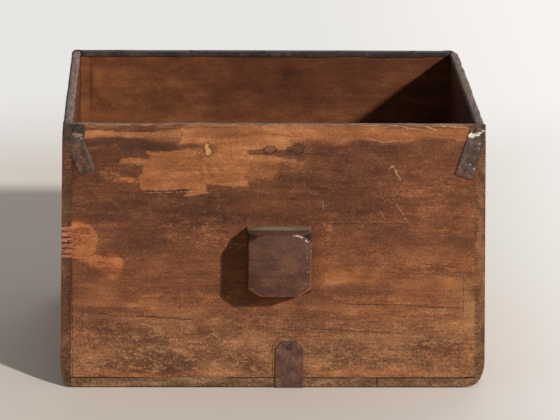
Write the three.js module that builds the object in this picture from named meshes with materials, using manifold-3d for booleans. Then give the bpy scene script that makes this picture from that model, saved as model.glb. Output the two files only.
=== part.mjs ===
// A wooden grain measure for one mal: an open box of thin comb-jointed boards on a two-plank
// bottom, with a block handle on its front and rear, an iron strap slanting down from each top corner,
// an iron strap round its bottom and an iron strip along its rear rim.
//
// Millimetres, +Z up, +X to the right, the front towards -Y. The origin is on the floor, under the
// middle of the box. The box is laid out square and upright, and every piece is then drawn in
// towards the mouth, which is a little narrower than the base.

import * as THREE from 'three';
import { ConvexGeometry } from 'three/addons/geometries/ConvexGeometry.js';
import { mergeVertices } from 'three/addons/utils/BufferGeometryUtils.js';
import Module from 'manifold-3d';

const wasm = await Module();
wasm.setup();

// Box
const baseWidth = 321.5; // outside, left to right, at the floor
const baseDepth = 321.5; // outside, front to rear, at the floor
const height = 202.8;
const mouthNarrowing = 4.5; // the mouth is this much narrower than the base, both ways
const boardThickness = 7.5;
const bottomThickness = 8;
const combPitch = 4.4; // one finger and one gap, before it is fitted to the board
const woodFit = 0.1; // between two pieces of wood that meet
const plankJointRight = 79; // the two bottom planks meet this far right of the middle
const plankGap = 0.4;
const footRound = 7; // worn arris along the foot of each side board

// Handle blocks
const handleWidth = 52; // at the board
const handleFaceWidth = 47.6;
const handleHeight = 47.4;
const handleReach = 31.5;
const handleRight = 3.9; // off the middle of the board
const handleCentreHeight = 101.2;
const facetAcross = 10.4; // the cut corners of the block's face
const facetDown = 6.9;
const facetBack = 14;
const handlePegRadius = 4;
const handlePegSpacing = 22;
const handlePegInBlock = 20;

// Ironwork
const ironThickness = 1.2;
const ironFit = 0.1; // between iron and wood
const cornerStrapTilt = THREE.MathUtils.degToRad(15.2);
const cornerStrapInset = 0.5; // a strap ends this far in from the corner of the box
const leftStrap = { side: -1, rimInset: 9.5, rimWidth: 16, footWidth: 12.8, length: 39.4 };
const rightStrap = { side: 1, rimInset: 4.5, rimWidth: 14.7, footWidth: 14.2, length: 41.6 };
const baseStrapWidth = 21.2;
const baseStrapRight = 12.5; // off the middle of the board
const baseStrapRise = 36.2;
const baseStrapClipAcross = 5;
const baseStrapClipDown = 6;
const rimLipDepth = 2.8;

// Nails, pegs and dowels
const nailHeadRadius = 2.4;
const nailHeadRise = 0.9;
const nailShankRadius = 1;
const nailLength = 6.2; // under the head
const upperNailInset = 4.5; // down a corner strap from the rim
const lowerNailInset = 5; // up from a strap's end
const baseNailInset = 4.5;
const rimNailCount = 5;
const rimNailLength = 16;
const rimNailRise = 0.3; // beaten nearly flush
const pegRadius = 1.3;
const pegLength = 24;
const pegsPerEdge = 4;
const dowelCount = 3; // across the joint of the two planks
const boreFit = 0.25; // round a nail, peg or dowel
const tipGap = 0.8; // past its inner end
const roundSides = 10;

const halfWidth = baseWidth / 2;
const halfDepth = baseDepth / 2;
const innerHalfWidth = halfWidth - boardThickness;
const innerHalfDepth = halfDepth - boardThickness;
const combCount = Math.round((height - bottomThickness) / combPitch);
const fingerPitch = (height - bottomThickness) / combCount;
const ironSeat = ironThickness + ironFit; // the outer face of a strap stands this far off the wood
const pegSink = ironSeat + ironFit; // pegs end this far below the wood that they enter

const front = new THREE.Vector3(0, -1, 0);
const rear = new THREE.Vector3(0, 1, 0);
const right = new THREE.Vector3(1, 0, 0);
const up = new THREE.Vector3(0, 0, 1);

// Solids

function toSolid(geometry) {
  const bare = geometry.clone();
  bare.deleteAttribute('normal');
  bare.deleteAttribute('uv');
  const merged = mergeVertices(bare, 1e-4);
  return new wasm.Manifold(new wasm.Mesh({
    numProp: 3,
    vertProperties: new Float32Array(merged.attributes.position.array),
    triVerts: new Uint32Array(merged.index.array),
  }));
}

function toGeometry(solid) {
  const { vertProperties, triVerts } = solid.getMesh();
  const geometry = new THREE.BufferGeometry();
  geometry.setAttribute('position', new THREE.BufferAttribute(new Float32Array(vertProperties), 3));
  geometry.setIndex(new THREE.BufferAttribute(new Uint32Array(triVerts), 1));
  return geometry;
}

function cut(geometry, cutters) {
  const solid = cutters.map(toSolid).reduce((rest, cutter) => rest.subtract(cutter), toSolid(geometry));
  return toGeometry(solid);
}

function join(geometries) {
  return toGeometry(geometries.map(toSolid).reduce((whole, next) => whole.add(next)));
}

function halfTurn(geometry) {
  return geometry.clone().rotateZ(Math.PI);
}

// A plate whose outline runs in X and Z, and whose thickness runs from y to y + thickness.
function uprightPlate(points, y, thickness) {
  const shape = new THREE.Shape(points.map(([x, z]) => new THREE.Vector2(x, z)));
  return new THREE.ExtrudeGeometry(shape, { depth: thickness, bevelEnabled: false })
    .rotateX(Math.PI / 2)
    .translate(0, y + thickness, 0);
}

// A bar whose section runs in Y and Z, and whose length runs from x to x + length.
function crossBar(points, x, length) {
  const shape = new THREE.Shape(points.map(([y, z]) => new THREE.Vector2(y, z)));
  return new THREE.ExtrudeGeometry(shape, { depth: length, bevelEnabled: false })
    .rotateX(Math.PI / 2)
    .rotateZ(Math.PI / 2)
    .translate(x, 0, 0);
}

function block(low, high) {
  const size = high.map((value, axis) => value - low[axis]);
  const middle = high.map((value, axis) => (value + low[axis]) / 2);
  return new THREE.BoxGeometry(...size).translate(...middle);
}

// Turns a piece made along +Y to run in a direction, and puts it at a place.
function aim(geometry, place, direction) {
  const turn = new THREE.Quaternion().setFromUnitVectors(rear, direction);
  return geometry.applyQuaternion(turn).translate(...place);
}

function rod(radius, start, direction, length) {
  const geometry = new THREE.CylinderGeometry(radius, radius, length, roundSides);
  return aim(geometry.translate(0, length / 2, 0), start, direction);
}

// The hole for a rod, open for a way behind the rod's start.
function bore(radius, start, direction, length, lead) {
  const mouth = new THREE.Vector3(...start).addScaledVector(direction, -lead);
  return rod(radius + boreFit, mouth.toArray(), direction, lead + length + tipGap);
}

// A forged nail with a pointed shank and a low domed head.
function nail({ seat, outward, length, rise = nailHeadRise }) {
  const profile = [
    [0, -length],
    [nailShankRadius, -length * 0.7],
    [nailShankRadius, 0],
    [nailHeadRadius, 0],
    [nailHeadRadius * 0.85, rise * 0.6],
    [nailHeadRadius * 0.4, rise],
    [0, rise],
  ].map(([radius, along]) => new THREE.Vector2(radius, along));
  return aim(new THREE.LatheGeometry(profile, roundSides), seat, outward);
}

function nailBore({ seat, outward, length }) {
  return bore(nailShankRadius, seat, outward.clone().negate(), length, ironThickness);
}

function evenly(count, low, high) {
  return Array.from({ length: count }, (_, i) => low + ((i + 0.5) * (high - low)) / count);
}

function mirrored(points) {
  return [...points, ...points.map(([across, z]) => [-across, z]).reverse()];
}

// Comb joints

// Half the outline of a front or rear board, from its foot to its top: fingers and gaps by turns.
function combedEnd(top) {
  const root = innerHalfWidth - woodFit;
  const fingers = Array.from({ length: combCount }, (_, k) => {
    const foot = bottomThickness + k * fingerPitch;
    const low = foot + woodFit / 2;
    const high = foot + fingerPitch / 2 - woodFit / 2;
    return [[root, low], [halfWidth, low], [halfWidth, high], [root, high]];
  });
  const [, ...outline] = fingers.flat();
  return [...outline, [root, top]];
}

// Half the outline of a side board: its foot beside the planks, then its own fingers.
function sideCombedEnd() {
  const root = innerHalfDepth - woodFit;
  const fingers = Array.from({ length: combCount }, (_, k) => {
    const foot = bottomThickness + (k + 0.5) * fingerPitch;
    const low = foot + woodFit / 2;
    const high = foot + fingerPitch / 2 - woodFit / 2;
    return [[root, low], [halfDepth, low], [halfDepth, high], [root, high]];
  });
  const last = fingers.pop();
  const topFinger = [last[0], last[1], [halfDepth, height]];
  return [[halfDepth, 0], [halfDepth, bottomThickness], [root, bottomThickness], ...fingers.flat(), ...topFinger];
}

// Handles

// The block narrows a little towards its face, and the four corners of the face are cut off.
function handleBlock() {
  const faceY = -halfDepth - handleReach;
  const backY = -halfDepth - woodFit;
  const halfHeight = handleHeight / 2;
  const halfFace = handleFaceWidth / 2;
  const edgeHalf = THREE.MathUtils.mapLinear(facetBack, 0, handleReach - woodFit, halfFace, handleWidth / 2);
  const corner = (across, rise, y) => new THREE.Vector3(handleRight + across, y, handleCentreHeight + rise);
  const points = [-1, 1].flatMap((side) => [-1, 1].flatMap((rise) => [
    corner((side * handleWidth) / 2, rise * halfHeight, backY),
    corner(side * edgeHalf, rise * halfHeight, faceY + facetBack),
    corner(side * (halfFace - facetAcross), rise * halfHeight, faceY),
    corner(side * halfFace, rise * (halfHeight - facetDown), faceY),
  ]));
  return new ConvexGeometry(points);
}

// Driven from inside the box, through the board and into the block.
const handlePegStarts = [-1, 1].map((side) => [
  handleRight + (side * handlePegSpacing) / 2, -innerHalfDepth, handleCentreHeight]);
const handlePegLength = boardThickness + handlePegInBlock;
const handlePegBores = handlePegStarts
  .map((start) => bore(handlePegRadius, start, front, handlePegLength, woodFit));

// Corner straps, drawn on the front

// A place on a corner strap: down along its middle from the rim, and outward from its middle.
function onStrap({ side, rimInset }, down, outward) {
  const sine = Math.sin(cornerStrapTilt);
  const cosine = Math.cos(cornerStrapTilt);
  const x = halfWidth - rimInset - down * sine + outward * cosine;
  const z = height - down * cosine - outward * sine;
  return [side * x, z];
}

// A plate that slants inward down the board from the rim, cut off where it would pass the corner.
function cornerStrap(strap) {
  const { side, rimInset, rimWidth, footWidth, length } = strap;
  const face = -halfDepth - ironSeat;
  const onRim = (outward) => [side * (halfWidth - rimInset + outward), height];
  const plate = uprightPlate([
    onRim(rimWidth / 2),
    onStrap(strap, length, footWidth / 2),
    onStrap(strap, length, -footWidth / 2),
    onRim(-rimWidth / 2),
  ], face, ironThickness);
  const edges = [side * (halfWidth - cornerStrapInset), side * (halfWidth + rimWidth)].sort((a, b) => a - b);
  const beyond = block([edges[0], face - 1, 0], [edges[1], face + ironThickness + 1, height + 1]);
  return cut(plate, [beyond]);
}

function cornerNails(strap) {
  return [upperNailInset, strap.length - lowerNailInset].map((down) => {
    const [x, z] = onStrap(strap, down, 0);
    return { seat: [x, -halfDepth - ironSeat, z], outward: front, length: nailLength };
  });
}

// Base strap: up the front, under the planks and up the rear, let in flush with the planks

function baseStrap() {
  const low = baseStrapRight - baseStrapWidth / 2;
  const high = baseStrapRight + baseStrapWidth / 2;
  const leg = [
    [low, 0],
    [high, 0],
    [high, baseStrapRise - baseStrapClipDown],
    [high - baseStrapClipAcross, baseStrapRise],
    [low + baseStrapClipAcross, baseStrapRise],
    [low, baseStrapRise - baseStrapClipDown],
  ];
  return join([
    block([low, -halfDepth - ironSeat, 0], [high, halfDepth + ironSeat, ironThickness]),
    uprightPlate(leg, -halfDepth - ironSeat, ironThickness),
    uprightPlate(leg, halfDepth + ironFit, ironThickness),
  ]);
}

const [frontBaseNail, rearBaseNail] = [front, rear].map((outward) => ({
  seat: [baseStrapRight, outward.y * (halfDepth + ironSeat), baseStrapRise - baseNailInset],
  outward,
  length: nailLength,
}));
const baseStrapHousing = block(
  [baseStrapRight - baseStrapWidth / 2 - ironFit, -halfDepth - 1, -1],
  [baseStrapRight + baseStrapWidth / 2 + ironFit, halfDepth + 1, ironSeat],
);

// Rim strip: an angle let in flush along the top of the rear board, its lip down the inner face

function rimStrip() {
  const inner = innerHalfDepth - ironSeat;
  const lip = inner + ironThickness;
  const lipFoot = height - ironSeat - rimLipDepth;
  const section = [
    [inner, lipFoot],
    [lip, lipFoot],
    [lip, height - ironThickness],
    [halfDepth, height - ironThickness],
    [halfDepth, height],
    [inner, height],
  ];
  const reach = innerHalfWidth - woodFit;
  return crossBar(section, -reach, 2 * reach);
}

const rimNails = evenly(rimNailCount, -innerHalfWidth, innerHalfWidth)
  .map((x) => [x, halfDepth - boardThickness / 2, height])
  .map((seat) => ({ seat, outward: up, length: rimNailLength, rise: rimNailRise }));

// Pegs and dowels

// Up through a plank into the front board, in through a side board into a plank's edge, and
// across the joint of the planks.
const boardPegStarts = evenly(pegsPerEdge, -innerHalfWidth, innerHalfWidth)
  .map((x) => [x, -halfDepth + boardThickness / 2, pegSink]);
const sidePegStarts = evenly(pegsPerEdge, -halfDepth, halfDepth)
  .map((y) => [-halfWidth + pegSink, y, bottomThickness / 2]);
const dowelStarts = evenly(dowelCount, -halfDepth, halfDepth)
  .map((y) => [plankJointRight - pegLength / 2, y, bottomThickness / 2]);

function pegs(starts, direction) {
  return starts.map((start) => rod(pegRadius, start, direction, pegLength));
}

const boardPegBores = boardPegStarts.map((start) => bore(pegRadius, start, up, pegLength, 2 * pegSink));
const sidePegBores = sidePegStarts.map((start) => bore(pegRadius, start, right, pegLength, 2 * pegSink));
const dowelBores = dowelStarts.map((start) => bore(pegRadius, start, right, pegLength, tipGap));

// Boards and planks

const strapNailBores = [leftStrap, rightStrap].flatMap((strap) => cornerNails(strap).map(nailBore));

function crossBoard(top, moreBores) {
  const plate = uprightPlate(mirrored(combedEnd(top)), -halfDepth, boardThickness);
  return cut(plate, [...handlePegBores, ...boardPegBores, ...strapNailBores, ...moreBores]);
}

// The left-hand board. Its rear corner takes the nails of the right-hand strap, turned half round.
function sideBoard() {
  const plate = crossBar(mirrored(sideCombedEnd()), -halfWidth, boardThickness);
  const arris = new THREE.Shape();
  arris.moveTo(-halfWidth - 1, -1);
  arris.lineTo(-halfWidth + footRound, -1);
  arris.lineTo(-halfWidth + footRound, 0);
  arris.absarc(-halfWidth + footRound, footRound, footRound, -Math.PI / 2, Math.PI, true);
  arris.lineTo(-halfWidth - 1, footRound);
  const worn = new THREE.ExtrudeGeometry(arris, { depth: baseDepth + 2, bevelEnabled: false, curveSegments: 5 })
    .rotateX(Math.PI / 2)
    .translate(0, halfDepth + 1, 0);
  return cut(plate, [worn, ...sidePegBores, ...strapNailBores, ...strapNailBores.map(halfTurn)]);
}

function bottomPlank(low, high) {
  const plank = block([low, -halfDepth, 0], [high, halfDepth, bottomThickness]);
  const bores = [...boardPegBores, ...sidePegBores];
  return cut(plank, [baseStrapHousing, ...bores, ...bores.map(halfTurn), ...dowelBores]);
}

// Materials
const boardWood = new THREE.MeshStandardMaterial({ color: 0x7a4a2e, roughness: 0.6, metalness: 0 });
const bottomWood = new THREE.MeshStandardMaterial({ color: 0x7b654d, roughness: 0.85, metalness: 0 });
const handleWood = new THREE.MeshStandardMaterial({ color: 0x5c4036, roughness: 0.5, metalness: 0 });
const pegWood = new THREE.MeshStandardMaterial({ color: 0x8a6a42, roughness: 0.8, metalness: 0 });
const strapIron = new THREE.MeshStandardMaterial({ color: 0x584a42, roughness: 0.7, metalness: 0.6 });
const nailIron = new THREE.MeshStandardMaterial({ color: 0x4a3830, roughness: 0.75, metalness: 0.6 });

// Assembly

function add(parent, name, geometry, material) {
  const mesh = new THREE.Mesh(geometry, material);
  mesh.name = name;
  parent.add(mesh);
}

function addEach(parent, name, geometries, material) {
  geometries.forEach((geometry, i) => add(parent, `${name}_${i + 1}`, geometry, material));
}

// A corner strap and its nails, under the name of the corner where it ends up.
function addCorner(parent, corner, strap) {
  const nails = cornerNails(strap);
  add(parent, `${corner}_corner_strap`, cut(cornerStrap(strap), nails.map(nailBore)), strapIron);
  addEach(parent, `${corner}_strap_nail`, nails.map(nail), nailIron);
}

// One cross board with its handle and pegs, as it is made for the front.
function crossSide(end, board) {
  const group = new THREE.Group();
  add(group, `${end}_board`, board, boardWood);
  add(group, `${end}_handle_block`, cut(handleBlock(), handlePegBores), handleWood);
  addEach(group, `${end}_handle_peg`,
    handlePegStarts.map((start) => rod(handlePegRadius, start, front, handlePegLength)), pegWood);
  addEach(group, `${end}_base_peg`, pegs(boardPegStarts, up), pegWood);
  return group;
}

function sideOf(hand) {
  const group = new THREE.Group();
  add(group, `${hand}_side_board`, sideBoard(), boardWood);
  addEach(group, `${hand}_base_peg`, pegs(sidePegStarts, right), pegWood);
  return group;
}

const measure = new THREE.Group();

const frontSide = crossSide('front', crossBoard(height, [nailBore(frontBaseNail)]));
addCorner(frontSide, 'front_left', leftStrap);
addCorner(frontSide, 'front_right', rightStrap);

const rearBores = [rearBaseNail, ...rimNails].map(nailBore).map(halfTurn);
const rearSide = crossSide('rear', crossBoard(height - ironSeat, rearBores));
addCorner(rearSide, 'rear_right', leftStrap);
addCorner(rearSide, 'rear_left', rightStrap);
rearSide.rotation.z = Math.PI;

const leftSide = sideOf('left');
const rightSide = sideOf('right');
rightSide.rotation.z = Math.PI;
measure.add(frontSide, rearSide, leftSide, rightSide);

add(measure, 'wide_bottom_plank', bottomPlank(-innerHalfWidth + woodFit, plankJointRight - plankGap / 2), bottomWood);
add(measure, 'narrow_bottom_plank', bottomPlank(plankJointRight + plankGap / 2, innerHalfWidth - woodFit), bottomWood);
addEach(measure, 'plank_joint_dowel', pegs(dowelStarts, right), pegWood);
add(measure, 'base_strap', cut(baseStrap(), [frontBaseNail, rearBaseNail].map(nailBore)), strapIron);
add(measure, 'front_base_strap_nail', nail(frontBaseNail), nailIron);
add(measure, 'rear_base_strap_nail', nail(rearBaseNail), nailIron);
add(measure, 'rear_rim_strip', cut(rimStrip(), rimNails.map(nailBore)), strapIron);
addEach(measure, 'rim_strip_nail', rimNails.map(nail), nailIron);

// Draws a mesh in towards the mouth, in proportion to its height above the floor.
function drawIn(mesh) {
  const position = mesh.geometry.attributes.position;
  const back = mesh.matrixWorld.clone().invert();
  const point = new THREE.Vector3();
  for (let i = 0; i < position.count; i++) {
    point.fromBufferAttribute(position, i).applyMatrix4(mesh.matrixWorld);
    const narrowing = (mouthNarrowing * point.z) / height;
    point.x *= 1 - narrowing / baseWidth;
    point.y *= 1 - narrowing / baseDepth;
    point.applyMatrix4(back);
    position.setXYZ(i, point.x, point.y, point.z);
  }
  mesh.geometry.computeVertexNormals();
}

measure.updateMatrixWorld(true);
measure.traverse((item) => {
  if (item.isMesh) drawIn(item);
});

export default measure;
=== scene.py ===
"""The looks of a wooden grain measure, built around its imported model.

Every length is in metres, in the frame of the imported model: +Z up, +X to the right, the front
towards -Y. Sizes that a maker would give are written in millimetres, times MM.
"""

from __future__ import annotations

import logging
import math
from dataclasses import dataclass
from enum import Enum
from typing import Callable, Iterable, Optional, Sequence, Union

import bmesh
import bpy
from mathutils import Matrix, Vector, noise


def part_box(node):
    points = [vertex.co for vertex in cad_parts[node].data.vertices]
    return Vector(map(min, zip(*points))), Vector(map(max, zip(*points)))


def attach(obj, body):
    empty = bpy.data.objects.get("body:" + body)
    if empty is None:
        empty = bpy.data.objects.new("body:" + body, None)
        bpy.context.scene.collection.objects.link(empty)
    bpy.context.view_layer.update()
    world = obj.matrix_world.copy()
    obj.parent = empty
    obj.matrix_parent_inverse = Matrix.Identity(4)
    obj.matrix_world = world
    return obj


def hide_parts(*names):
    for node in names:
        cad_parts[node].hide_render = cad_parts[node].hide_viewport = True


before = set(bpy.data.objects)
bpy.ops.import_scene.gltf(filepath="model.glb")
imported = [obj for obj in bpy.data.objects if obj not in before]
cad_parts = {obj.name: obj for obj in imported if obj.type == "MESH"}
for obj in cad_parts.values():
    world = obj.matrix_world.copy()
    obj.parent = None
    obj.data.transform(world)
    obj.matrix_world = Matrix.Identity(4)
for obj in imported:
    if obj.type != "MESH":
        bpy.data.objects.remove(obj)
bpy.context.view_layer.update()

MM = 0.001
BODY = "root"

log = logging.getLogger("grain_measure")

Socket = bpy.types.NodeSocket
Value = Union[Socket, float]
Colour = tuple[float, float, float, float]
Tint = Union[Socket, Colour]
Stops = tuple[tuple[float, int, int, int], ...]


def paint(red: int, green: int, blue: int) -> Colour:
    """Turns a colour as a paint chart gives it into the linear values that a shader takes.

    Args:
        red: Red, from 0 to 255.
        green: Green, from 0 to 255.
        blue: Blue, from 0 to 255.

    Returns:
        The linear colour, opaque.
    """

    def linear(channel: int) -> float:
        """Gives one channel's linear value."""
        share = channel / 255
        return share / 12.92 if share <= 0.04045 else ((share + 0.055) / 1.055) ** 2.4

    return (linear(red), linear(green), linear(blue), 1.0)


class Axis(Enum):
    """An axis of the frame: the way that a board, its grain or a face runs, or that it looks."""

    ACROSS = 0
    DEEP = 1
    UP = 2


@dataclass(frozen=True)
class BoxShape:
    """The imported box's main sizes, read from its nodes."""

    foot_half: float
    mouth_half: float
    height: float
    wall: float
    bottom: float

    @classmethod
    def read(cls) -> "BoxShape":
        """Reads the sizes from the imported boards.

        Returns:
            The sizes.
        """
        low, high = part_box("left_side_board")
        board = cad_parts["left_side_board"].data
        foot = [v.co.x for v in board.vertices if v.co.z < 1 * MM]
        mouth = [v.co.x for v in board.vertices if v.co.z > high.z - 1 * MM]
        plank_low, plank_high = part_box("wide_bottom_plank")
        return cls(
            foot_half=-low.y,
            mouth_half=-min(mouth),
            height=high.z,
            wall=max(foot) + -low.y,
            bottom=plank_high.z - plank_low.z,
        )

    @property
    def lean(self) -> float:
        """How far an outer face leans inwards for each metre of height."""
        return (self.foot_half - self.mouth_half) / self.height

    def inward(self, *depths: float) -> list[float]:
        """Gives the places that lie some depths, in mm, inwards of the foot's outer face."""
        return [self.foot_half - depth * MM for depth in depths]

    def half_at(self, z: float) -> float:
        """Gives half the outer width, which is also half the outer depth, at a height."""
        return self.foot_half + (self.mouth_half - self.foot_half) * z / self.height


BOX = BoxShape.read()


class Graph:
    """A material's node tree, with short calls for the nodes that the finishes use."""

    def __init__(self, name: str) -> None:
        """Starts an empty tree.

        Args:
            name: The material's name.
        """
        self.material = bpy.data.materials.new(name)
        self.material.use_nodes = True
        self.tree = self.material.node_tree
        self.tree.nodes.clear()
        self.place: Socket = self.node("ShaderNodeTexCoord").outputs["Object"]

    def node(self, kind: str, **settings: object) -> bpy.types.Node:
        """Adds a node and gives it its settings.

        Args:
            kind: The node's type.
            settings: Its properties.

        Returns:
            The node.
        """
        node = self.tree.nodes.new(kind)
        for key, value in settings.items():
            setattr(node, key, value)
        return node

    def feed(self, socket: Socket, value: object) -> None:
        """Links a socket to another, or sets its value.

        Args:
            socket: The socket that is fed.
            value: What it is fed with.
        """
        if isinstance(value, bpy.types.NodeSocket):
            self.tree.links.new(value, socket)
        else:
            socket.default_value = value

    def math(self, operation: str, first: Value, second: Value = 0.0, third: Value = 0.0) -> Socket:
        """Works out one operation on numbers.

        Args:
            operation: The operation's name.
            first: Its first number.
            second: Its second one.
            third: Its third one.

        Returns:
            What it gives.
        """
        node = self.node("ShaderNodeMath", operation=operation)
        for socket, value in zip(node.inputs, (first, second, third)):
            self.feed(socket, value)
        return node.outputs[0]

    def fold(self, operation: str, values: Iterable[Value]) -> Socket:
        """Joins numbers by one operation, each as soon as it is made, so that few are held at once.

        Args:
            operation: The operation's name.
            values: The numbers.

        Returns:
            What it gives.
        """
        whole = None
        for value in values:
            whole = value if whole is None else self.math(operation, whole, value)
        return whole

    def add(self, *values: Value) -> Socket:
        """Adds numbers up."""
        return self.fold("ADD", values)

    def mixture(self, *parts: tuple[Socket, float]) -> Socket:
        """Adds numbers up, each times its share."""
        shares = [self.times(value, share) for value, share in parts]
        return self.fold("ADD", shares)

    def times(self, *values: Value) -> Socket:
        """Multiplies numbers."""
        return self.fold("MULTIPLY", values)

    def most(self, *values: Value) -> Socket:
        """Gives the largest of several numbers."""
        return self.fold("MAXIMUM", values)

    def minus(self, first: Value, second: Value) -> Socket:
        """Takes the second number from the first."""
        return self.math("SUBTRACT", first, second)

    def absolute(self, value: Value) -> Socket:
        """Gives a number without its sign."""
        return self.math("ABSOLUTE", value)

    def scale_add(self, first: Value, second: Value, third: Value) -> Socket:
        """Multiplies two numbers and adds the third."""
        return self.math("MULTIPLY_ADD", first, second, third)

    def marks(self, marks: Iterable["Mark"], place: Sequence[Socket], here: Value = 1.0) -> Socket:
        """Gives the strongest of the marks on a face.

        Args:
            marks: The marks.
            place: The place along the face, the height and the noise that frays the marks.
            here: 1 on the marks' face, 0 off it.

        Returns:
            1 on a mark, 0 off them all.
        """
        found = self.fold("MAXIMUM", (mark.mask(self, *place) for mark in marks))
        return found if here == 1.0 else self.times(found, here)

    def vector(self, operation: str, first: object, second: object = (0.0, 0.0, 0.0)) -> Socket:
        """Works out one operation on vectors that gives a vector.

        Args:
            operation: The operation's name.
            first: Its first vector.
            second: Its second one.

        Returns:
            What it gives.
        """
        node = self.node("ShaderNodeVectorMath", operation=operation)
        self.feed(node.inputs[0], first)
        self.feed(node.inputs[1], second)
        return node.outputs[0]

    def moved(self, x: Socket, y: Socket, z: Socket) -> Socket:
        """Puts a vector together from its X, Y and Z.

        Args:
            x: Its X.
            y: Its Y.
            z: Its Z.

        Returns:
            The vector.
        """
        node = self.node("ShaderNodeCombineXYZ")
        for socket, value in zip(node.inputs, (x, y, z)):
            self.feed(socket, value)
        return node.outputs[0]

    def parts(self, vector: Socket) -> tuple[Socket, Socket, Socket]:
        """Splits a vector into its X, Y and Z.

        Args:
            vector: The vector.

        Returns:
            The three numbers.
        """
        node = self.node("ShaderNodeSeparateXYZ")
        self.feed(node.inputs[0], vector)
        return node.outputs[0], node.outputs[1], node.outputs[2]

    def length(self, vector: Socket) -> Socket:
        """Gives a vector's length.

        Args:
            vector: The vector.

        Returns:
            Its length.
        """
        node = self.node("ShaderNodeVectorMath", operation="LENGTH")
        self.feed(node.inputs[0], vector)
        return node.outputs["Value"]

    def noise(
        self,
        size: Sequence[float],
        detail: float = 3.0,
        roughness: float = 0.6,
        place: Optional[Socket] = None,
        shift: float = 0.0,
        turn: float = 0.0,
    ) -> Socket:
        """Adds soft random variation.

        Args:
            size: The variation's size along X, Y and Z, in mm.
            detail: How many finer layers it has.
            roughness: How strong the finer layers are.
            place: The coordinates that it reads, or none for the object's own.
            shift: A distance that tells one pattern from another.
            turn: How far the pattern is turned about Y, in radians.

        Returns:
            A number about 0.5.
        """
        mapping = self.node("ShaderNodeMapping", vector_type="POINT")
        self.feed(mapping.inputs["Vector"], place or self.place)
        mapping.inputs["Location"].default_value = (shift, 2 * shift, 3 * shift)
        mapping.inputs["Scale"].default_value = [1 / (length * MM) for length in size]
        if turn:
            turned = self.node("ShaderNodeMapping", vector_type="POINT")
            self.feed(turned.inputs["Vector"], place or self.place)
            turned.inputs["Rotation"].default_value = (0.0, turn, 0.0)
            self.feed(mapping.inputs["Vector"], turned.outputs["Vector"])
        node = self.node("ShaderNodeTexNoise", noise_dimensions="3D")
        self.feed(node.inputs["Vector"], mapping.outputs["Vector"])
        node.inputs["Scale"].default_value = 1.0
        node.inputs["Detail"].default_value = detail
        node.inputs["Roughness"].default_value = roughness
        return node.outputs[0]

    def spread(self, value: Value, low: float, high: float, unit: float = 1.0) -> Socket:
        """Turns a number smoothly from 0 at one bound to 1 at the other.

        Args:
            value: The number.
            low: Where it gives 0.
            high: Where it gives 1.
            unit: The unit of both bounds.

        Returns:
            The share, from 0 to 1.
        """
        node = self.node("ShaderNodeMapRange", interpolation_type="SMOOTHSTEP", clamp=False)
        self.feed(node.inputs["Value"], value)
        node.inputs["From Min"].default_value = low * unit
        node.inputs["From Max"].default_value = high * unit
        return node.outputs["Result"]

    def scaled(self, value: Value, low: float, high: float) -> Socket:
        """Turns a number that runs from 0 to 1 into one that runs from low to high."""
        return self.scale_add(value, high - low, low)

    def between(self, value: Value, low: float, high: float, soft: float) -> Socket:
        """Gives 1 between two bounds and 0 outside, with soft edges.

        Args:
            value: The number.
            low: The lower bound.
            high: The upper one.
            soft: Half the width of an edge.

        Returns:
            The share, from 0 to 1.
        """
        rise = self.spread(value, low - soft, low + soft)
        fall = self.spread(value, high + soft, high - soft)
        return self.times(rise, fall)

    def blend(self, share: Value, first: Tint, second: Tint) -> Socket:
        """Blends two colours.

        Args:
            share: How much of the second one there is.
            first: The first colour.
            second: The second one.

        Returns:
            The blend.
        """
        node = self.node("ShaderNodeMix", data_type="RGBA", blend_type="MIX")
        self.feed(node.inputs[0], share)
        self.feed(node.inputs[6], first)
        self.feed(node.inputs[7], second)
        return node.outputs[2]

    def ramp(self, value: Value, stops: Stops) -> Socket:
        """Turns a number into a colour.

        Args:
            value: The number.
            stops: Rows of a place and the red, green and blue that it has there.

        Returns:
            The colour.
        """
        node = self.node("ShaderNodeValToRGB")
        self.feed(node.inputs[0], value)
        elements = node.color_ramp.elements
        while len(elements) < len(stops):
            elements.new(1.0)
        for element, (position, *colour) in zip(elements, stops):
            element.position = position
            element.color = paint(*colour)
        return node.outputs[0]

    def finish(
        self,
        colour: Tint,
        roughness: Value,
        height: Optional[Socket] = None,
        depth: float = 0.3 * MM,
        gloss: float = 0.35,
    ) -> bpy.types.Material:
        """Ends the tree with its surface.

        Args:
            colour: The surface's colour.
            roughness: How matt it is.
            height: The relief, from 0 to 1, if it has any.
            depth: The relief's depth.
            gloss: How strongly its outer layer reflects.

        Returns:
            The finished material.
        """
        surface = self.node("ShaderNodeBsdfPrincipled")
        self.feed(surface.inputs["Base Color"], colour)
        self.feed(surface.inputs["Roughness"], roughness)
        surface.inputs["Specular IOR Level"].default_value = gloss
        if height is not None:
            bump = self.node("ShaderNodeBump")
            bump.inputs["Strength"].default_value = 1.0
            bump.inputs["Distance"].default_value = depth
            self.feed(bump.inputs["Height"], height)
            self.feed(surface.inputs["Normal"], bump.outputs["Normal"])
        output = self.node("ShaderNodeOutputMaterial")
        self.feed(output.inputs["Surface"], surface.outputs[0])
        return self.material


class Outline(Enum):
    """The outline of a mark on a board."""

    ROUND = "round"
    SQUARE = "square"


class Face(Enum):
    """An outer face of the box: the way that it runs, the way that it looks, and its side."""

    FRONT = (Axis.ACROSS, Axis.DEEP, -1)
    REAR = (Axis.ACROSS, Axis.DEEP, 1)
    LEFT = (Axis.DEEP, Axis.ACROSS, -1)
    RIGHT = (Axis.DEEP, Axis.ACROSS, 1)

    @property
    def run(self) -> Axis:
        """The way that the face runs."""
        return self.value[0]

    @property
    def out(self) -> Axis:
        """The way that the face looks."""
        return self.value[1]

    @property
    def side(self) -> int:
        """The side of the box that it is on."""
        return self.value[2]


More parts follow.
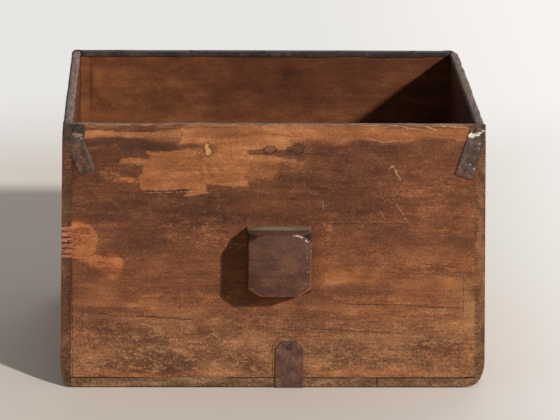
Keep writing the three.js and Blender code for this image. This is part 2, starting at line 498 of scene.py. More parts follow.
@dataclass(frozen=True)
class Spot:
    """A worn, scraped or darker place on a face. All its sizes are in mm."""

    across: float
    z: float
    half_across: float
    half_z: float
    ragged: float = 8.0
    soft: float = 0.8
    strength: float = 1.0
    outline: Outline = Outline.SQUARE

    def mask(self, graph: Graph, along: Socket, z: Socket, fray: Socket) -> Socket:
        """Adds the spot's nodes, on plain numbers, since vectors take up three times a shader's room.

        Args:
            graph: The tree that they go into.
            along: The place along the face.
            z: The height.
            fray: The noise that frays the spot's edge.

        Returns:
            The spot's strength on it, 0 off it.
        """
        beside = graph.absolute(graph.minus(along, self.across * MM))
        above = graph.absolute(graph.minus(z, self.z * MM))
        if self.outline is Outline.SQUARE:
            above = graph.math("ADD", above, (self.half_across - self.half_z) * MM)
            reach = graph.most(beside, above)
            size = self.half_across
        else:
            size = math.sqrt(self.half_across * self.half_z)
            beside = graph.times(beside, size / self.half_across)
            above = graph.times(above, size / self.half_z)
            reach = graph.math("SQRT", graph.scale_add(beside, beside, graph.times(above, above)))
        frayed = graph.scale_add(fray, self.ragged * MM, reach)
        edge = (size + 0.5 * self.ragged) * MM
        found = graph.spread(frayed, edge + self.soft * MM, edge - self.soft * MM)
        return found if self.strength == 1.0 else graph.times(found, self.strength)


@dataclass(frozen=True)
class Line:
    """A crack, a scratch, a painted shadow line or a painted highlight band on a face, from one end to the
    other, in mm.
    """

    across_0: float
    z0: float
    across_1: float
    z1: float
    width: float = 0.5
    wander: float = 1.5
    taper: float = 4.0

    def mask(self, graph: Graph, along: Socket, z: Socket, wander: Socket) -> Socket:
        """Adds the line's nodes.

        Args:
            graph: The tree that they go into.
            along: The place along the face.
            z: The height.
            wander: The noise that the line wanders by.

        Returns:
            1 on the line, 0 off it.
        """
        reach = (self.across_1 - self.across_0, self.z1 - self.z0)
        length = math.hypot(*reach)
        way = (reach[0] / length, reach[1] / length)
        start = (self.across_0 * MM, self.z0 * MM)
        gone = graph.scale_add(along, way[0], -start[0] * way[0] - start[1] * way[1])
        gone = graph.scale_add(z, way[1], gone)
        off = graph.scale_add(along, -way[1], start[0] * way[1] - start[1] * way[0])
        off = graph.scale_add(z, way[0], off)
        off = graph.scale_add(wander, self.wander * MM, off)
        aside = graph.absolute(graph.minus(off, 0.5 * self.wander * MM))
        line = graph.spread(aside, self.width * MM, 0.3 * self.width * MM)
        taper = min(self.taper, 0.45 * length) * MM
        return graph.times(line, graph.between(gone, 0.0, length * MM, taper))


@dataclass(frozen=True)
class Wear:
    """What time has done to one outer face."""

    face: Face
    toned: tuple[Spot, ...] = ()
    rubbed: tuple[Spot, ...] = ()
    bared: tuple[Spot, ...] = ()
    stained: tuple[Spot, ...] = ()
    scraped: tuple[Spot, ...] = ()
    chipped: tuple[Spot, ...] = ()
    cracks_and_shadow_lines: tuple[Line, ...] = ()
    scratches: tuple[Line, ...] = ()



SKIN: Stops = ((0.34, 58, 33, 24), (0.5, 99, 58, 37), (0.66, 146, 92, 56))
LOW_SKIN: Stops = ((0.34, 56, 34, 25), (0.5, 95, 60, 41), (0.66, 150, 104, 68))
FOOT_SKIN: Stops = ((0.36, 60, 41, 30), (0.5, 98, 71, 51), (0.64, 148, 116, 88))
SCRAPED: Stops = ((0.4, 78, 41, 28), (0.5, 121, 66, 38), (0.6, 176, 110, 64))
INNER_SKIN: Stops = ((0.34, 62, 31, 19), (0.5, 91, 50, 29), (0.68, 128, 78, 46))
BARED: Stops = ((0.4, 108, 64, 37), (0.5, 144, 89, 53), (0.6, 180, 122, 78))
# The side rims' greys are partly rubbed wood and partly a painted sheen: pale surroundings reflected in the
# rubbed tops.
RIM_GREY: Stops = ((0.34, 74, 57, 48), (0.5, 110, 92, 82), (0.66, 158, 138, 127))
RIM_BROWN: Stops = ((0.34, 66, 50, 41), (0.5, 102, 83, 71), (0.66, 144, 120, 103))
RIM_CREAM: Stops = ((0.34, 76, 50, 37), (0.5, 124, 92, 68), (0.66, 176, 142, 110))
RIM_TAN: Stops = ((0.34, 66, 43, 31), (0.5, 154, 120, 90), (0.66, 200, 172, 140))
STRIP: Stops = ((0.34, 60, 37, 28), (0.5, 92, 60, 42), (0.66, 142, 96, 64))
CREAM = paint(184, 146, 106)
SCRAPED_PINK = paint(170, 112, 88)
CHIP = paint(192, 136, 86)
DARK_LINE = paint(42, 25, 19)
GREY_SCUFF = paint(158, 118, 82)
COMB_PITCH = 4.4 * MM


@dataclass(frozen=True)
class Ground:
    """What the wear on a board is made from: its place, and the noise that frays all edges alike."""

    g: Graph
    x: Socket
    y: Socket
    z: Socket
    under: Socket
    inside: Socket
    fray: Socket
    grit: Socket

    def along(self, run: Axis) -> Socket:
        """Gives the place along a face that runs one way."""
        return self.x if run is Axis.ACROSS else self.y

    def on_face(self, face: Face) -> Socket:
        """Gives 1 on an outer face and 0 elsewhere.

        Args:
            face: The face.

        Returns:
            The share, from 0 to 1.
        """
        leaning = self.g.times(self.z, BOX.lean)
        out = self.g.scale_add(self.along(face.out), float(face.side), leaning)
        return self.g.spread(out, *BOX.inward(2.6, 1.2))


@dataclass(frozen=True)
class BoardFinish:
    """Worn and darkened board wood, lighter where hands and grain have rubbed it."""

    node: str
    grain: Axis
    wear: tuple[Wear, ...]
    rim_stops: Stops = RIM_TAN
    rim_width: float = 0.9 * MM
    arris_shade: float = 3.4 * MM
    inner_spots: tuple[Spot, ...] = ()
    inner_painted_light: float = 0.0

    def grained(self, length: float, width: float) -> tuple[float, float, float]:
        """Gives a pattern's size along X, Y and Z, in mm, when it runs with the grain.

        Args:
            length: Its size along the grain.
            width: Its size across it.

        Returns:
            The three sizes.
        """
        size = [width, width, width]
        size[self.grain.value] = length
        return (size[0], size[1], size[2])

    def build(self) -> bpy.types.Material:
        """Builds the material.

        Returns:
            The material.
        """
        g = Graph(f"{self.node}_wood")
        x, y, z = g.parts(g.place)
        edge = g.most(g.absolute(x), g.absolute(y))
        under = g.minus(BOX.foot_half, g.scale_add(z, BOX.lean, edge))
        inside = g.spread(under, BOX.wall - 1.5 * MM, BOX.wall - 0.7 * MM)

        bend = g.noise(self.grained(80, 30), 2.0, 0.5)
        swayed = g.moved(x, y, g.scale_add(bend, 12 * MM, z))
        broad = g.noise(self.grained(150, 9), 4.0, 0.6, swayed)
        fibre = g.noise(self.grained(22, 0.9), 4.0, 0.65, swayed, shift=3.1)
        cloud = g.noise(self.grained(38, 20), 7.0, 0.68, shift=7.7)
        grit = g.noise((1.5, 1.5, 1.3), 2.0, 0.6, shift=11.3)
        fray = g.noise(self.grained(12, 6), 7.0, 0.74, shift=17.9)
        wander = g.noise((22, 22, 60), 5.0, 0.6, shift=31.7)
        bulge = g.minus(g.noise(self.grained(34, 14), 4.0, 0.6, shift=83.1), 0.5)
        drift = g.minus(g.noise(self.grained(30, 16), 4.0, 0.6, shift=91.7), 0.5)
        high = g.scale_add(bulge, 13 * MM, z)
        grain = g.mixture((cloud, 0.4), (broad, 0.25), (fibre, 0.15), (grit, 0.2))

        tone = g.mixture((cloud, 0.42), (broad, 0.18), (fibre, 0.18), (grit, 0.22))
        pale_end = g.times(g.spread(x, 128, 152, MM), g.spread(z, 110, 60, MM))
        low = g.times(g.most(g.spread(z, 78, 26, MM), pale_end), g.minus(1.0, inside))
        tone = g.scale_add(low, 0.03, tone)
        ground = Ground(g, x, y, z, under, inside, fray, grit)
        faces = [(wear, ground.along(wear.face.run), ground.on_face(wear.face)) for wear in self.wear]
        for wear, along, here in faces:
            if wear.toned:
                lift = g.fold("ADD", (spot.mask(g, along, high, fray) for spot in wear.toned))
                tone = g.scale_add(lift, here, tone)
        colour = g.blend(low, g.ramp(tone, SKIN), g.ramp(tone, LOW_SKIN))
        streak = g.noise(self.grained(8, 1.0), 5.0, 0.68, swayed, shift=97.3)
        scuff_level = g.mixture((streak, 0.3), (fray, 0.5), (grit, 0.2), (low, 0.02))
        scuffs = g.times(g.spread(scuff_level, 0.525, 0.585), g.scaled(low, 0.12, 0.55))
        colour = g.blend(scuffs, colour, GREY_SCUFF)

        inner_tone = g.mixture((cloud, 0.55), (broad, 0.17), (fibre, 0.1), (grit, 0.18))
        # Lighter or darker inner faces are painted light and shade: lighter on the left board, darker on
        # the right.
        inner_tone = g.add(inner_tone, self.inner_painted_light)
        if self.inner_spots:
            run = ground.along(self.grain)
            lift = g.fold("ADD", (spot.mask(g, run, z, fray) for spot in self.inner_spots))
            inner_tone = g.add(inner_tone, lift)
        colour = g.blend(inside, colour, g.ramp(inner_tone, INNER_SKIN))
        colour = self.comb(ground, colour)
        relief = g.mixture((fibre, 0.55), (grit, 0.45))
        bare_wood = g.ramp(grain, BARED)

        for wear, along, here in faces:
            far = g.scale_add(drift, 26 * MM, along)
            if wear.rubbed:
                rubbed = g.marks(wear.rubbed, (far, high, fray), here)
                through = g.spread(g.mixture((fray, 0.75), (grit, 0.25)), 0.5, 0.57)
                colour = g.blend(g.times(rubbed, through), colour, bare_wood)
            if wear.bared:
                bared = g.marks(wear.bared, (far, high, fray), here)
                colour = g.blend(g.times(bared, 0.9), colour, bare_wood)
                relief = g.scale_add(bared, -0.3, relief)
            if wear.stained:
                stained = g.marks(wear.stained, (far, high, fray), here)
                stain = g.ramp(tone, ((0.4, 54, 33, 25), (0.62, 96, 60, 42)))
                colour = g.blend(g.times(stained, 0.85), colour, stain)
            if wear.scraped:
                scraped = g.marks(wear.scraped, (along, z, fray), here)
                raw = g.ramp(g.scale_add(g.spread(z, 104, 99, MM), 0.055, grain), SCRAPED)
                at_comb = g.spread(g.absolute(along), *BOX.inward(10.5, 7))
                finger = g.math("PINGPONG", g.scale_add(fray, 5 * MM, z), 0.5 * COMB_PITCH)
                finger = g.spread(finger, 0.6, 1.2, MM)
                ends = g.blend(finger, paint(66, 36, 26), SCRAPED_PINK)
                ragged = g.spread(g.add(fray, grit), 0.86, 1.04)
                raw = g.blend(g.times(at_comb, ragged), raw, ends)
                colour = g.blend(g.times(scraped, 0.88), colour, raw)
                relief = g.scale_add(scraped, -0.5, relief)
            if wear.chipped:
                jagged = g.mixture((fray, 0.45), (grit, 0.55))
                chipped = g.marks(wear.chipped, (along, z, jagged), here)
                # The dark ring round each chip is painted shade on its broken edge.
                colour = g.blend(g.times(g.spread(chipped, 0.02, 0.3), 0.7), colour, DARK_LINE)
                fresh = g.blend(g.spread(g.add(grit, fibre), 0.75, 1.0), paint(160, 104, 64), CHIP)
                colour = g.blend(g.times(g.spread(chipped, 0.45, 0.95), 0.9), colour, fresh)
                relief = g.scale_add(chipped, -0.9, relief)
            # Dark lines: real cracks, and on the front, painted shadow along the straps' edges.
            if wear.cracks_and_shadow_lines:
                cracks_and_shadow_lines = g.marks(wear.cracks_and_shadow_lines, (along, z, wander), here)
                cracks_and_shadow_lines = g.times(cracks_and_shadow_lines, g.spread(fray, 0.38, 0.56))
                colour = g.blend(g.times(cracks_and_shadow_lines, 0.62), colour, DARK_LINE)
                relief = g.scale_add(cracks_and_shadow_lines, -0.8, relief)
            if wear.scratches:
                scratches = g.marks(wear.scratches, (along, z, wander), here)
                scratches = g.times(scratches, g.spread(grit, 0.34, 0.58))
                colour = g.blend(g.times(scratches, 0.62), colour, CREAM)
                relief = g.scale_add(scratches, -0.6, relief)

        colour = self.fine_marks(ground, colour)
        colour, relief = self.rim(ground, colour, relief)
        return g.finish(colour, g.scaled(tone, 0.92, 0.6), relief, 0.3 * MM, gloss=0.14)

    def fine_marks(self, ground: Ground, colour: Socket) -> Socket:
        """Adds small pale flecks and hair-fine scratches, fewer of them inside the box.

        Args:
            ground: What the wear is made from.
            colour: The board's colour.

        Returns:
            The colour with the marks.
        """
        g, fray = ground.g, ground.fray
        outer = g.scaled(ground.inside, 1.0, 0.35)
        fleck = g.noise((1.4, 1.4, 0.9), 1.0, 0.5, shift=41.3)
        flecks = g.times(g.spread(g.add(fleck, g.times(fray, 0.3)), 0.87, 0.94), 0.36)
        colour = g.blend(g.times(flecks, outer), colour, CREAM)
        for turn, shift in ((0.35, 51.1), (-0.5, 57.7)):
            hair = g.noise((0.35, 0.35, 14), 2.0, 0.5, shift=shift, turn=turn)
            patch = g.noise((26, 26, 26), 2.0, 0.5, shift=shift + 5)
            hairs = g.times(g.spread(hair, 0.68, 0.76), g.spread(patch, 0.54, 0.66))
            colour = g.blend(g.times(hairs, 0.28, outer), colour, CREAM)
        return colour

    def comb(self, ground: Ground, colour: Socket) -> Socket:
        """Adds what has settled on the comb joints, where dirt and wax hide most of the fingers.

        Args:
            ground: What the wear is made from.
            colour: The board's colour.

        Returns:
            The colour with the joints.
        """
        g, x, z, fray, grit = ground.g, ground.x, ground.z, ground.fray, ground.grit
        least = g.math("MINIMUM", g.absolute(x), g.absolute(ground.y))
        from_corner = g.minus(BOX.foot_half, g.scale_add(z, BOX.lean, least))
        frayed = g.scale_add(fray, 3 * MM, from_corner)
        band = g.spread(frayed, BOX.wall + 2.6 * MM, BOX.wall + 0.6 * MM)
        even_cloud = g.noise((9, 9, 16), 7.0, 0.66, shift=71.3)
        rightness = g.spread(x, -150, 150, MM)
        level = g.add(g.times(even_cloud, 0.7), g.times(grit, 0.3), g.scaled(rightness, -0.055, 0.045))
        colour = g.blend(g.times(band, 0.86), colour, g.ramp(level, STRIP))
        near_foot = g.spread(g.scale_add(fray, 20 * MM, z), 36, 16, MM)
        colour = g.blend(g.times(band, near_foot, 0.85), colour, g.ramp(level, FOOT_SKIN))
        root = g.spread(g.absolute(g.minus(from_corner, BOX.wall)), 0.6, 0.15, MM)
        patchy = g.noise((18, 18, 18), 3.0, 0.6, shift=77.9)
        dirty = g.times(g.spread(patchy, 0.42, 0.54), g.scaled(rightness, 0.75, 0.25))
        colour = g.blend(g.times(root, dirty), colour, DARK_LINE)
        turns = g.math("FRACT", g.math("DIVIDE", z, COMB_PITCH))
        gap = g.spread(g.absolute(g.minus(turns, 0.5)), 0.2, 0.08)
        inner = g.absolute(g.minus(from_corner, BOX.wall - 1.5 * MM))
        dots = g.times(g.times(gap, g.spread(inner, 0.9, 0.4, MM)), g.spread(patchy, 0.47, 0.52))
        return g.blend(g.times(dots, g.spread(fray, 0.4, 0.56)), colour, DARK_LINE)

    def rim(self, ground: Ground, colour: Socket, relief: Socket) -> tuple[Socket, Socket]:
        """Adds the rubbed rim, its pale colour partly a painted sheen on the side boards, with painted
        shade on its outer arris and a painted shadow line along the foot.

        Args:
            ground: What the wear is made from.
            colour: The board's colour.
            relief: Its relief.

        Returns:
            The colour and the relief with the rim.
        """
        g, z, fray, grit = ground.g, ground.z, ground.fray, ground.grit
        frayed = g.scale_add(g.minus(fray, 0.5), 2.5 * MM, z)
        top = BOX.height - 0.9 * MM
        rim = g.spread(frayed, top - self.rim_width, top - 0.5 * self.rim_width)
        chalk = g.noise(self.grained(10, 1.3), 4.0, 0.58, shift=61.3)
        level = g.mixture((chalk, 0.75), (grit, 0.25))
        # Darker towards the rim's outer arris: painted shade on its rounding.
        arris = g.spread(ground.under, self.arris_shade, 0.5 * self.arris_shade)
        level = g.scale_add(arris, -0.16, level)
        colour = g.blend(g.times(rim, 0.92), colour, g.ramp(level, self.rim_stops))
        # A near-black band along the foot is painted contact shadow, where the box meets the floor.
        foot_shadow = g.spread(z, 1.3, 0.6, MM)
        colour = g.blend(foot_shadow, colour, paint(24, 16, 13))
        return colour, g.scale_add(g.times(rim, chalk), 0.15, relief)


def shade(across: float, z: float, half_across: float, half_z: float, strength: float) -> Spot:
    """Gives a wide soft place that is lighter or darker than the rest.

    Args:
        across: Its place along the face, in mm, as all its sizes are.
        z: Its height.
        half_across: Half its width.
        half_z: Half its height.
        strength: How much lighter it is.

    Returns:
        The place.
    """
    reach = math.sqrt(half_across * half_z)
    return blot(across, z, half_across, half_z, 0.6 * reach, 0.6 * reach, strength)


def blot(*sizes: float) -> Spot:
    """Gives a rounded spot, from its sizes in the order of Spot."""
    return Spot(*sizes, outline=Outline.ROUND)


def flake(across: float, z: float, half_across: float, half_z: float, strength: float = 1.0) -> Spot:
    """Gives a small rounded chip."""
    return blot(across, z, half_across, half_z, 8.0, 1.1, strength)


Mark = Union[Spot, Line]


def each(make: Callable[..., Mark], *rows: tuple) -> tuple[Mark, ...]:
    """Makes a mark of each row of a table.

    Args:
        make: What makes a mark.
        rows: Its arguments, a row for a mark.

    Returns:
        The marks.
    """
    return tuple(make(*row) for row in rows)


FRONT_WEAR = Wear(
    Face.FRONT,
    toned=each(
        shade,
        (-110, 152, 70, 44, -0.04), (-20, 136, 100, 20, -0.05), (-118, 178, 34, 18, -0.03),
        (96, 162, 62, 24, -0.015), (24, 168, 40, 14, -0.03), (-156, 178, 7, 24, -0.12),
        (156, 180, 6, 20, -0.12), (76, 184, 18, 7, -0.05), (40, 180, 16, 9, -0.05),
        (96, 98, 56, 24, 0.03), (-60, 64, 44, 12, 0.035), (-100, 78, 60, 16, 0.02),
        (95, 52, 70, 18, 0.045), (62, 88, 26, 8, 0.07), (-134, 72, 16, 8, 0.05),
        (-30, 32, 38, 20, -0.005), (-134, 35, 18, 14, 0.03), (-95, 18, 28, 7, -0.07),
        (122, 33, 22, 5, -0.04), (90, 22, 62, 12, 0.03), (113, 47, 12, 3, -0.06),
        (60, 22, 20, 4, -0.04), (39, 105, 10, 26, 0.035), (136, 76, 10, 9, 0.06),
        (150, 74, 8, 24, 0.04), (149, 40, 8, 26, 0.025), (-20, 117, 44, 5, 0.03),
    ),
    rubbed=each(
        Spot,
        (14, 172, 20, 8, 20, 5.0, 0.4), (-20, 172, 8, 10, 20, 4.0, 0.6),
        (-124, 164, 12, 5, 20, 3.0, 0.5), (62, 88, 26, 7, 20, 4.0, 0.9), (96, 58, 50, 14, 30, 8.0, 0.6),
        (104, 92, 40, 12, 30, 8.0, 0.4), (149, 60, 6, 46, 16, 3.0, 0.7), (39, 112, 8, 22, 16, 4.0, 0.5),
        (-66, 68, 44, 9, 20, 4.0, 0.6), (-134, 38, 16, 14, 20, 4.0, 0.6),
        (-56, 30, 26, 10, 24, 4.0, 0.45), (-14, 22, 14, 8, 20, 3.0, 0.5),
        (-110, 24, 20, 5, 20, 3.0, 0.35), (72, 14.6, 44, 5.4, 12, 2.0),
        (132, 24, 22, 10, 24, 4.0, 0.85), (84, 26, 30, 5, 20, 3.0, 0.45),
        (-86, 12, 62, 3.4, 14, 2.0, 0.8), (-28, 112, 30, 7, 20, 5.0, 0.45),
        (-60, 120, 20, 12, 20, 6.0, 0.3), (110, 150, 40, 20, 30, 9.0, 0.15),
        (-20, 58, 24, 10, 20, 6.0, 0.4),
    ),
    bared=each(
        Spot,
        (42, 198.5, 112, 7.2, 9, 1.2, 0.9), (34, 195, 30, 5.6, 9, 2.6, 0.9),
        (-106, 194.4, 36, 2.4, 9, 1.2, 0.8), (-74, 168, 23, 15.6, 7, 0.5),
        (-58.5, 156, 7.5, 7.6, 3, 0.4), (-36, 174, 17, 17, 10, 1.0), (-30, 188, 40, 6, 8, 1.4),
        (-12, 170, 14, 9, 26, 3.0, 0.6), (-104, 174, 8, 2.4, 10, 1.0), (-109, 159.6, 12, 1.2, 8, 0.9),
        (-6, 175.5, 20, 2.4, 14, 1.4, 0.8), (24, 171, 20, 7, 34, 3.0, 0.2),
        (82, 189.4, 9, 0.8, 8, 0.8, 0.8), (58, 86, 20, 4.2, 16, 1.6), (41, 85, 5, 4, 9, 1.0),
        (74, 11.6, 42, 1.8, 9, 1.6, 0.7), (136, 12, 22, 2.0, 9, 1.4, 0.4),
        (-86, 10.2, 62, 1.6, 8, 1.2, 0.5), (130, 122, 13, 0.7, 5, 0.8, 0.6),
    ),
    stained=each(
        Spot,
        (-116, 198.0, 26, 1.2, 12, 1.2, 0.6), (20, 201.6, 110, 1.2, 14, 1.6, 0.4),
        (93, 199.6, 7, 1.6, 9, 1.4, 0.6), (-106, 187.2, 34, 3.2, 8, 0.9),
        (-64, 186.3, 14, 2.0, 8, 1.2, 0.85), (-8, 181.6, 14, 3.0, 12, 1.0, 0.9, Outline.ROUND),
        (8, 179.6, 13, 3.6, 12, 1.2, 0.9, Outline.ROUND), (24, 178, 18, 4.4, 18, 2.4, 0.5),
        (70, 186.2, 13, 5.0, 9, 1.0, 0.55, Outline.ROUND),
        (86, 187.6, 14, 2.6, 9, 1.0, 0.4, Outline.ROUND),
        (-50, 183.4, 7.5, 5.5, 9, 2.2, 0.5, Outline.ROUND), (-54, 172, 1.8, 10, 22, 2.6, 0.45),
        (-46.6, 172, 1.8, 10, 22, 2.6, 0.4), (122, 200.6, 26, 1.6, 14, 1.4, 0.5),
    ),
    scraped=each(
        Spot,
        (-146.5, 114, 14.5, 14.5, 4.5, 0.9, 0.92, Outline.ROUND), (-155, 112.5, 4.5, 12, 9, 0.8),
        (-122.5, 94.5, 9.0, 10.0, 11, 2.4, 0.95, Outline.ROUND),
        (-132, 97.5, 10, 5.2, 11, 2.0, 0.9, Outline.ROUND),
        (-141, 100.5, 6, 4.0, 9, 2.0, 0.8, Outline.ROUND),
    ),
    chipped=each(
        flake,
        (-50.4, 185.8, 1.9, 2.9), (-49.2, 182.0, 2.5, 3.2), (-3.4, 183.4, 5.2, 2.8, 0.6),
        (11.4, 183.6, 2.3, 2.3, 0.4), (18, 183.8, 4.4, 4.0, 0.55), (-156, 173, 1.0, 2.4, 0.6),
        (-155.4, 166.6, 0.9, 1.4, 0.6),
    ),
    cracks_and_shadow_lines=each(
        Line,
        (34, 71, 56, 65, 0.6), (54, 65.2, 143, 61.5, 0.9, 2.6), (90, 64.2, 118, 63.8, 1.1),
        (-138.5, 57.4, -61, 52.8, 0.9, 3.4), (28, 45.8, 103, 42, 0.6, 2.8), (112, 96, 139, 92.8, 0.6),
        (40, 127, 110, 126.4, 0.45, 3.0), (143.5, 90, 143.5, 52, 0.4, 1.2),
        (-141, 197.6, -94, 197.7, 0.9, 7.0), (-96, 198, -62, 200.6, 0.6, 5.0),
        # The lines along the left strap's edge, and round the right strap and the base strap, are painted
        # shadow: the shade that the proud straps cast on the wood, with dirt along their edges.
        (-159.0, 193, -146.2, 162.6, 0.8, 0.5, 2.0), (147.4, 202, 135.2, 164.2, 0.7, 0.5, 1.0),
        (135.2, 164.0, 149.6, 160.2, 0.6, 0.5, 1.5), (-0.4, 9, -0.4, 33.5, 0.7, 0.4, 1.0),
        (-0.4, 33.4, 5.0, 39.2, 0.7, 0.4, 1.0), (5.0, 39.4, 17.0, 39.4, 0.6, 0.4, 1.0),
        (-98, 151.4, -62, 152.4, 0.4), (-151.6, 100, -151.6, 8, 0.5, 0.9),
    ),
    scratches=each(
        Line,
        (86, 169, 89.5, 171.3, 0.8, 0.6, 1.0), (89.2, 171.3, 95, 160.7, 1.1, 0.8, 2.0),
        (113, 154.6, 120, 154.4, 0.5, 1.3, 1.5), (37, 144, 37.3, 137, 0.4, 0.8, 2.5),
        (80, 137, 84, 130, 0.5, 0.8, 2.5), (91, 144, 101, 128, 0.4, 1.2, 5.0),
        (-126, 36, -118, 30, 0.35, 0.8, 2.5), (-146, 22, -141, 17, 0.5, 0.8, 1.5),
        (95, 201.6, 113, 198.4, 0.8, 3.0, 4.0), (112, 202.2, 122, 198.2, 0.8, 2.0, 3.0),
        (118, 202.0, 146, 200.6, 0.8, 4.0, 4.0), (72, 191.2, 81, 189.6, 0.6, 2.0, 2.0),
        (80, 189.0, 93, 190.4, 0.7, 3.0, 2.0), (-97, 150, -61, 151.2, 0.4, 1.8, 3.0),
        (-138.4, 125.2, -133.6, 118.8, 0.6, 0.8, 2.0), (-133.6, 118.8, -131.8, 113.2, 0.6, 0.8, 2.0),
        (-136.4, 119.4, -132.2, 112.0, 0.35, 0.8, 2.0),
    ),
)
FRONT_END_WEAR = Wear(
    Face.FRONT,
    toned=each(shade, (150, 74, 8, 24, 0.04), (149, 40, 8, 26, 0.025)),
    bared=each(Spot, (42, 198.5, 112, 7.2, 9, 1.2)),
    scraped=each(Spot, (-155, 112.5, 4.5, 12, 9, 0.8)),
)
REAR_WEAR = Wear(
    Face.REAR,
    toned=each(shade, (-60, 90, 90, 60, 0.03), (90, 130, 60, 50, -0.05), (-20, 34, 100, 16, 0.05)),
    bared=each(
        Spot,
        (10, 198, 140, 5, 9, 1.2), (92, 160, 26, 12, 8, 0.8), (-70, 176, 20, 5, 12, 1.4, 0.7),
        (-40, 11, 90, 2.6, 9, 1.4, 0.7),
    ),
    stained=each(Spot, (40, 186, 40, 3.5, 9, 1), (-110, 120, 16, 8, 20, 3, 0.6)),
    chipped=each(flake, (-112, 150, 3.4, 2.6)),
    cracks_and_shadow_lines=each(
        Line,
        (-150, 70, -40, 66, 0.8, 2.5), (30, 140, 140, 137, 0.6, 2.5), (60, 40, 130, 43, 0.7, 2.0),
    ),
    scratches=each(Line, (-90, 140, -80, 122, 0.5, 0.8, 2), (70, 80, 96, 74, 0.4, 0.8, 2)),
)
LEFT_WEAR = Wear(
    Face.LEFT,
    toned=each(shade, (-40, 110, 80, 50, 0.03), (80, 120, 60, 60, -0.05), (0, 30, 120, 18, 0.05)),
    bared=each(Spot, (0, 197, 130, 5, 9, 1.2), (-60, 170, 22, 9, 9, 1), (70, 11, 60, 3, 9, 1.4, 0.7)),
    stained=each(Spot, (50, 184, 40, 4, 9, 1), (-100, 60, 18, 10, 20, 3, 0.6)),
    cracks_and_shadow_lines=each(Line, (-140, 96, -20, 99, 0.8, 2.5), (20, 52, 150, 48, 0.8, 2.5)),
    scratches=each(Line, (-20, 150, -8, 132, 0.5, 0.8, 2), (60, 90, 84, 96, 0.4, 0.8, 2)),
)
RIGHT_WEAR = Wear(
    Face.RIGHT,
    toned=each(shade, (50, 120, 80, 50, 0.03), (-90, 100, 60, 60, -0.05), (0, 28, 130, 18, 0.05)),
    bared=each(Spot, (20, 197, 120, 5, 9, 1.2), (44, 150, 30, 14, 8, 0.8), (-50, 12, 70, 3, 9, 1.4, 0.7)),
    stained=each(Spot, (-60, 186, 44, 4, 9, 1), (104, 74, 16, 9, 20, 3, 0.6)),
    cracks_and_shadow_lines=each(Line, (-150, 60, -30, 57, 0.8, 2.5), (10, 118, 120, 122, 0.6, 2.5)),
    scratches=each(Line, (-30, 130, -16, 148, 0.5, 0.8, 2), (80, 40, 96, 52, 0.4, 0.8, 2)),
)
REAR_INNER_SPOTS = each(
    shade,
    (-148, 160, 5, 60, 0.05), (-110, 165, 60, 40, 0.05), (-137, 182, 4, 8, 0.06),
    (-6, 186, 34, 16, -0.06), (60, 170, 80, 24, -0.02), (-20, 148, 120, 8, 0.035),
    (-142.5, 175, 1.5, 20, -0.08),
)


@dataclass(frozen=True)
class PlankFinish:
    """Bare grey-brown wood of the bottom, end grain at its front and rear."""

    name: str

    def build(self) -> bpy.types.Material:
        """Builds the material.

        Returns:
            The material.
        """
        g = Graph(self.name)
        x, y, z = g.parts(g.place)
        long_grain = g.noise((1.6, 40, 1.6), 4.0, 0.65)
        cloud = g.noise((22, 30, 6), 6.0, 0.62, shift=9.1)
        grit = g.noise((1.3, 1.5, 0.9), 3.0, 0.65, shift=5.3)
        at_end = g.spread(g.absolute(y), *BOX.inward(2.5, 1))
        side_grain = g.mixture((long_grain, 0.6), (cloud, 0.4))
        end_grain = g.mixture((grit, 0.55), (cloud, 0.45))
        tone = g.scale_add(at_end, g.minus(end_grain, side_grain), side_grain)
        ends = g.ramp(tone, ((0.36, 64, 43, 30), (0.5, 101, 71, 50), (0.66, 150, 116, 86)))
        top = g.ramp(tone, ((0.36, 66, 40, 28), (0.5, 100, 66, 44), (0.66, 140, 104, 76)))
        colour = g.blend(at_end, top, ends)
        hair = g.noise((0.4, 1, 9), 2.0, 0.5, shift=21.7, turn=0.8)
        hairs = g.times(g.spread(hair, 0.62, 0.72), at_end, 0.45)
        colour = g.blend(hairs, colour, paint(176, 150, 118))
        seam = g.times(g.between(z, BOX.bottom - 0.8 * MM, BOX.bottom + 0.25 * MM, 0.3 * MM), at_end)
        patchy = g.noise((40, 40, 40), 3.0, 0.6, shift=33.3)
        colour = g.blend(g.times(seam, g.spread(patchy, 0.36, 0.5)), colour, DARK_LINE)
        # A near-black band along the foot is painted contact shadow, where the box meets the floor.
        foot_shadow = g.spread(z, 1.1, 0.5, MM)
        colour = g.blend(foot_shadow, colour, paint(26, 17, 14))
        return g.finish(colour, 0.8, g.mixture((grit, 0.5), (cloud, 0.5)), 0.4 * MM, gloss=0.12)


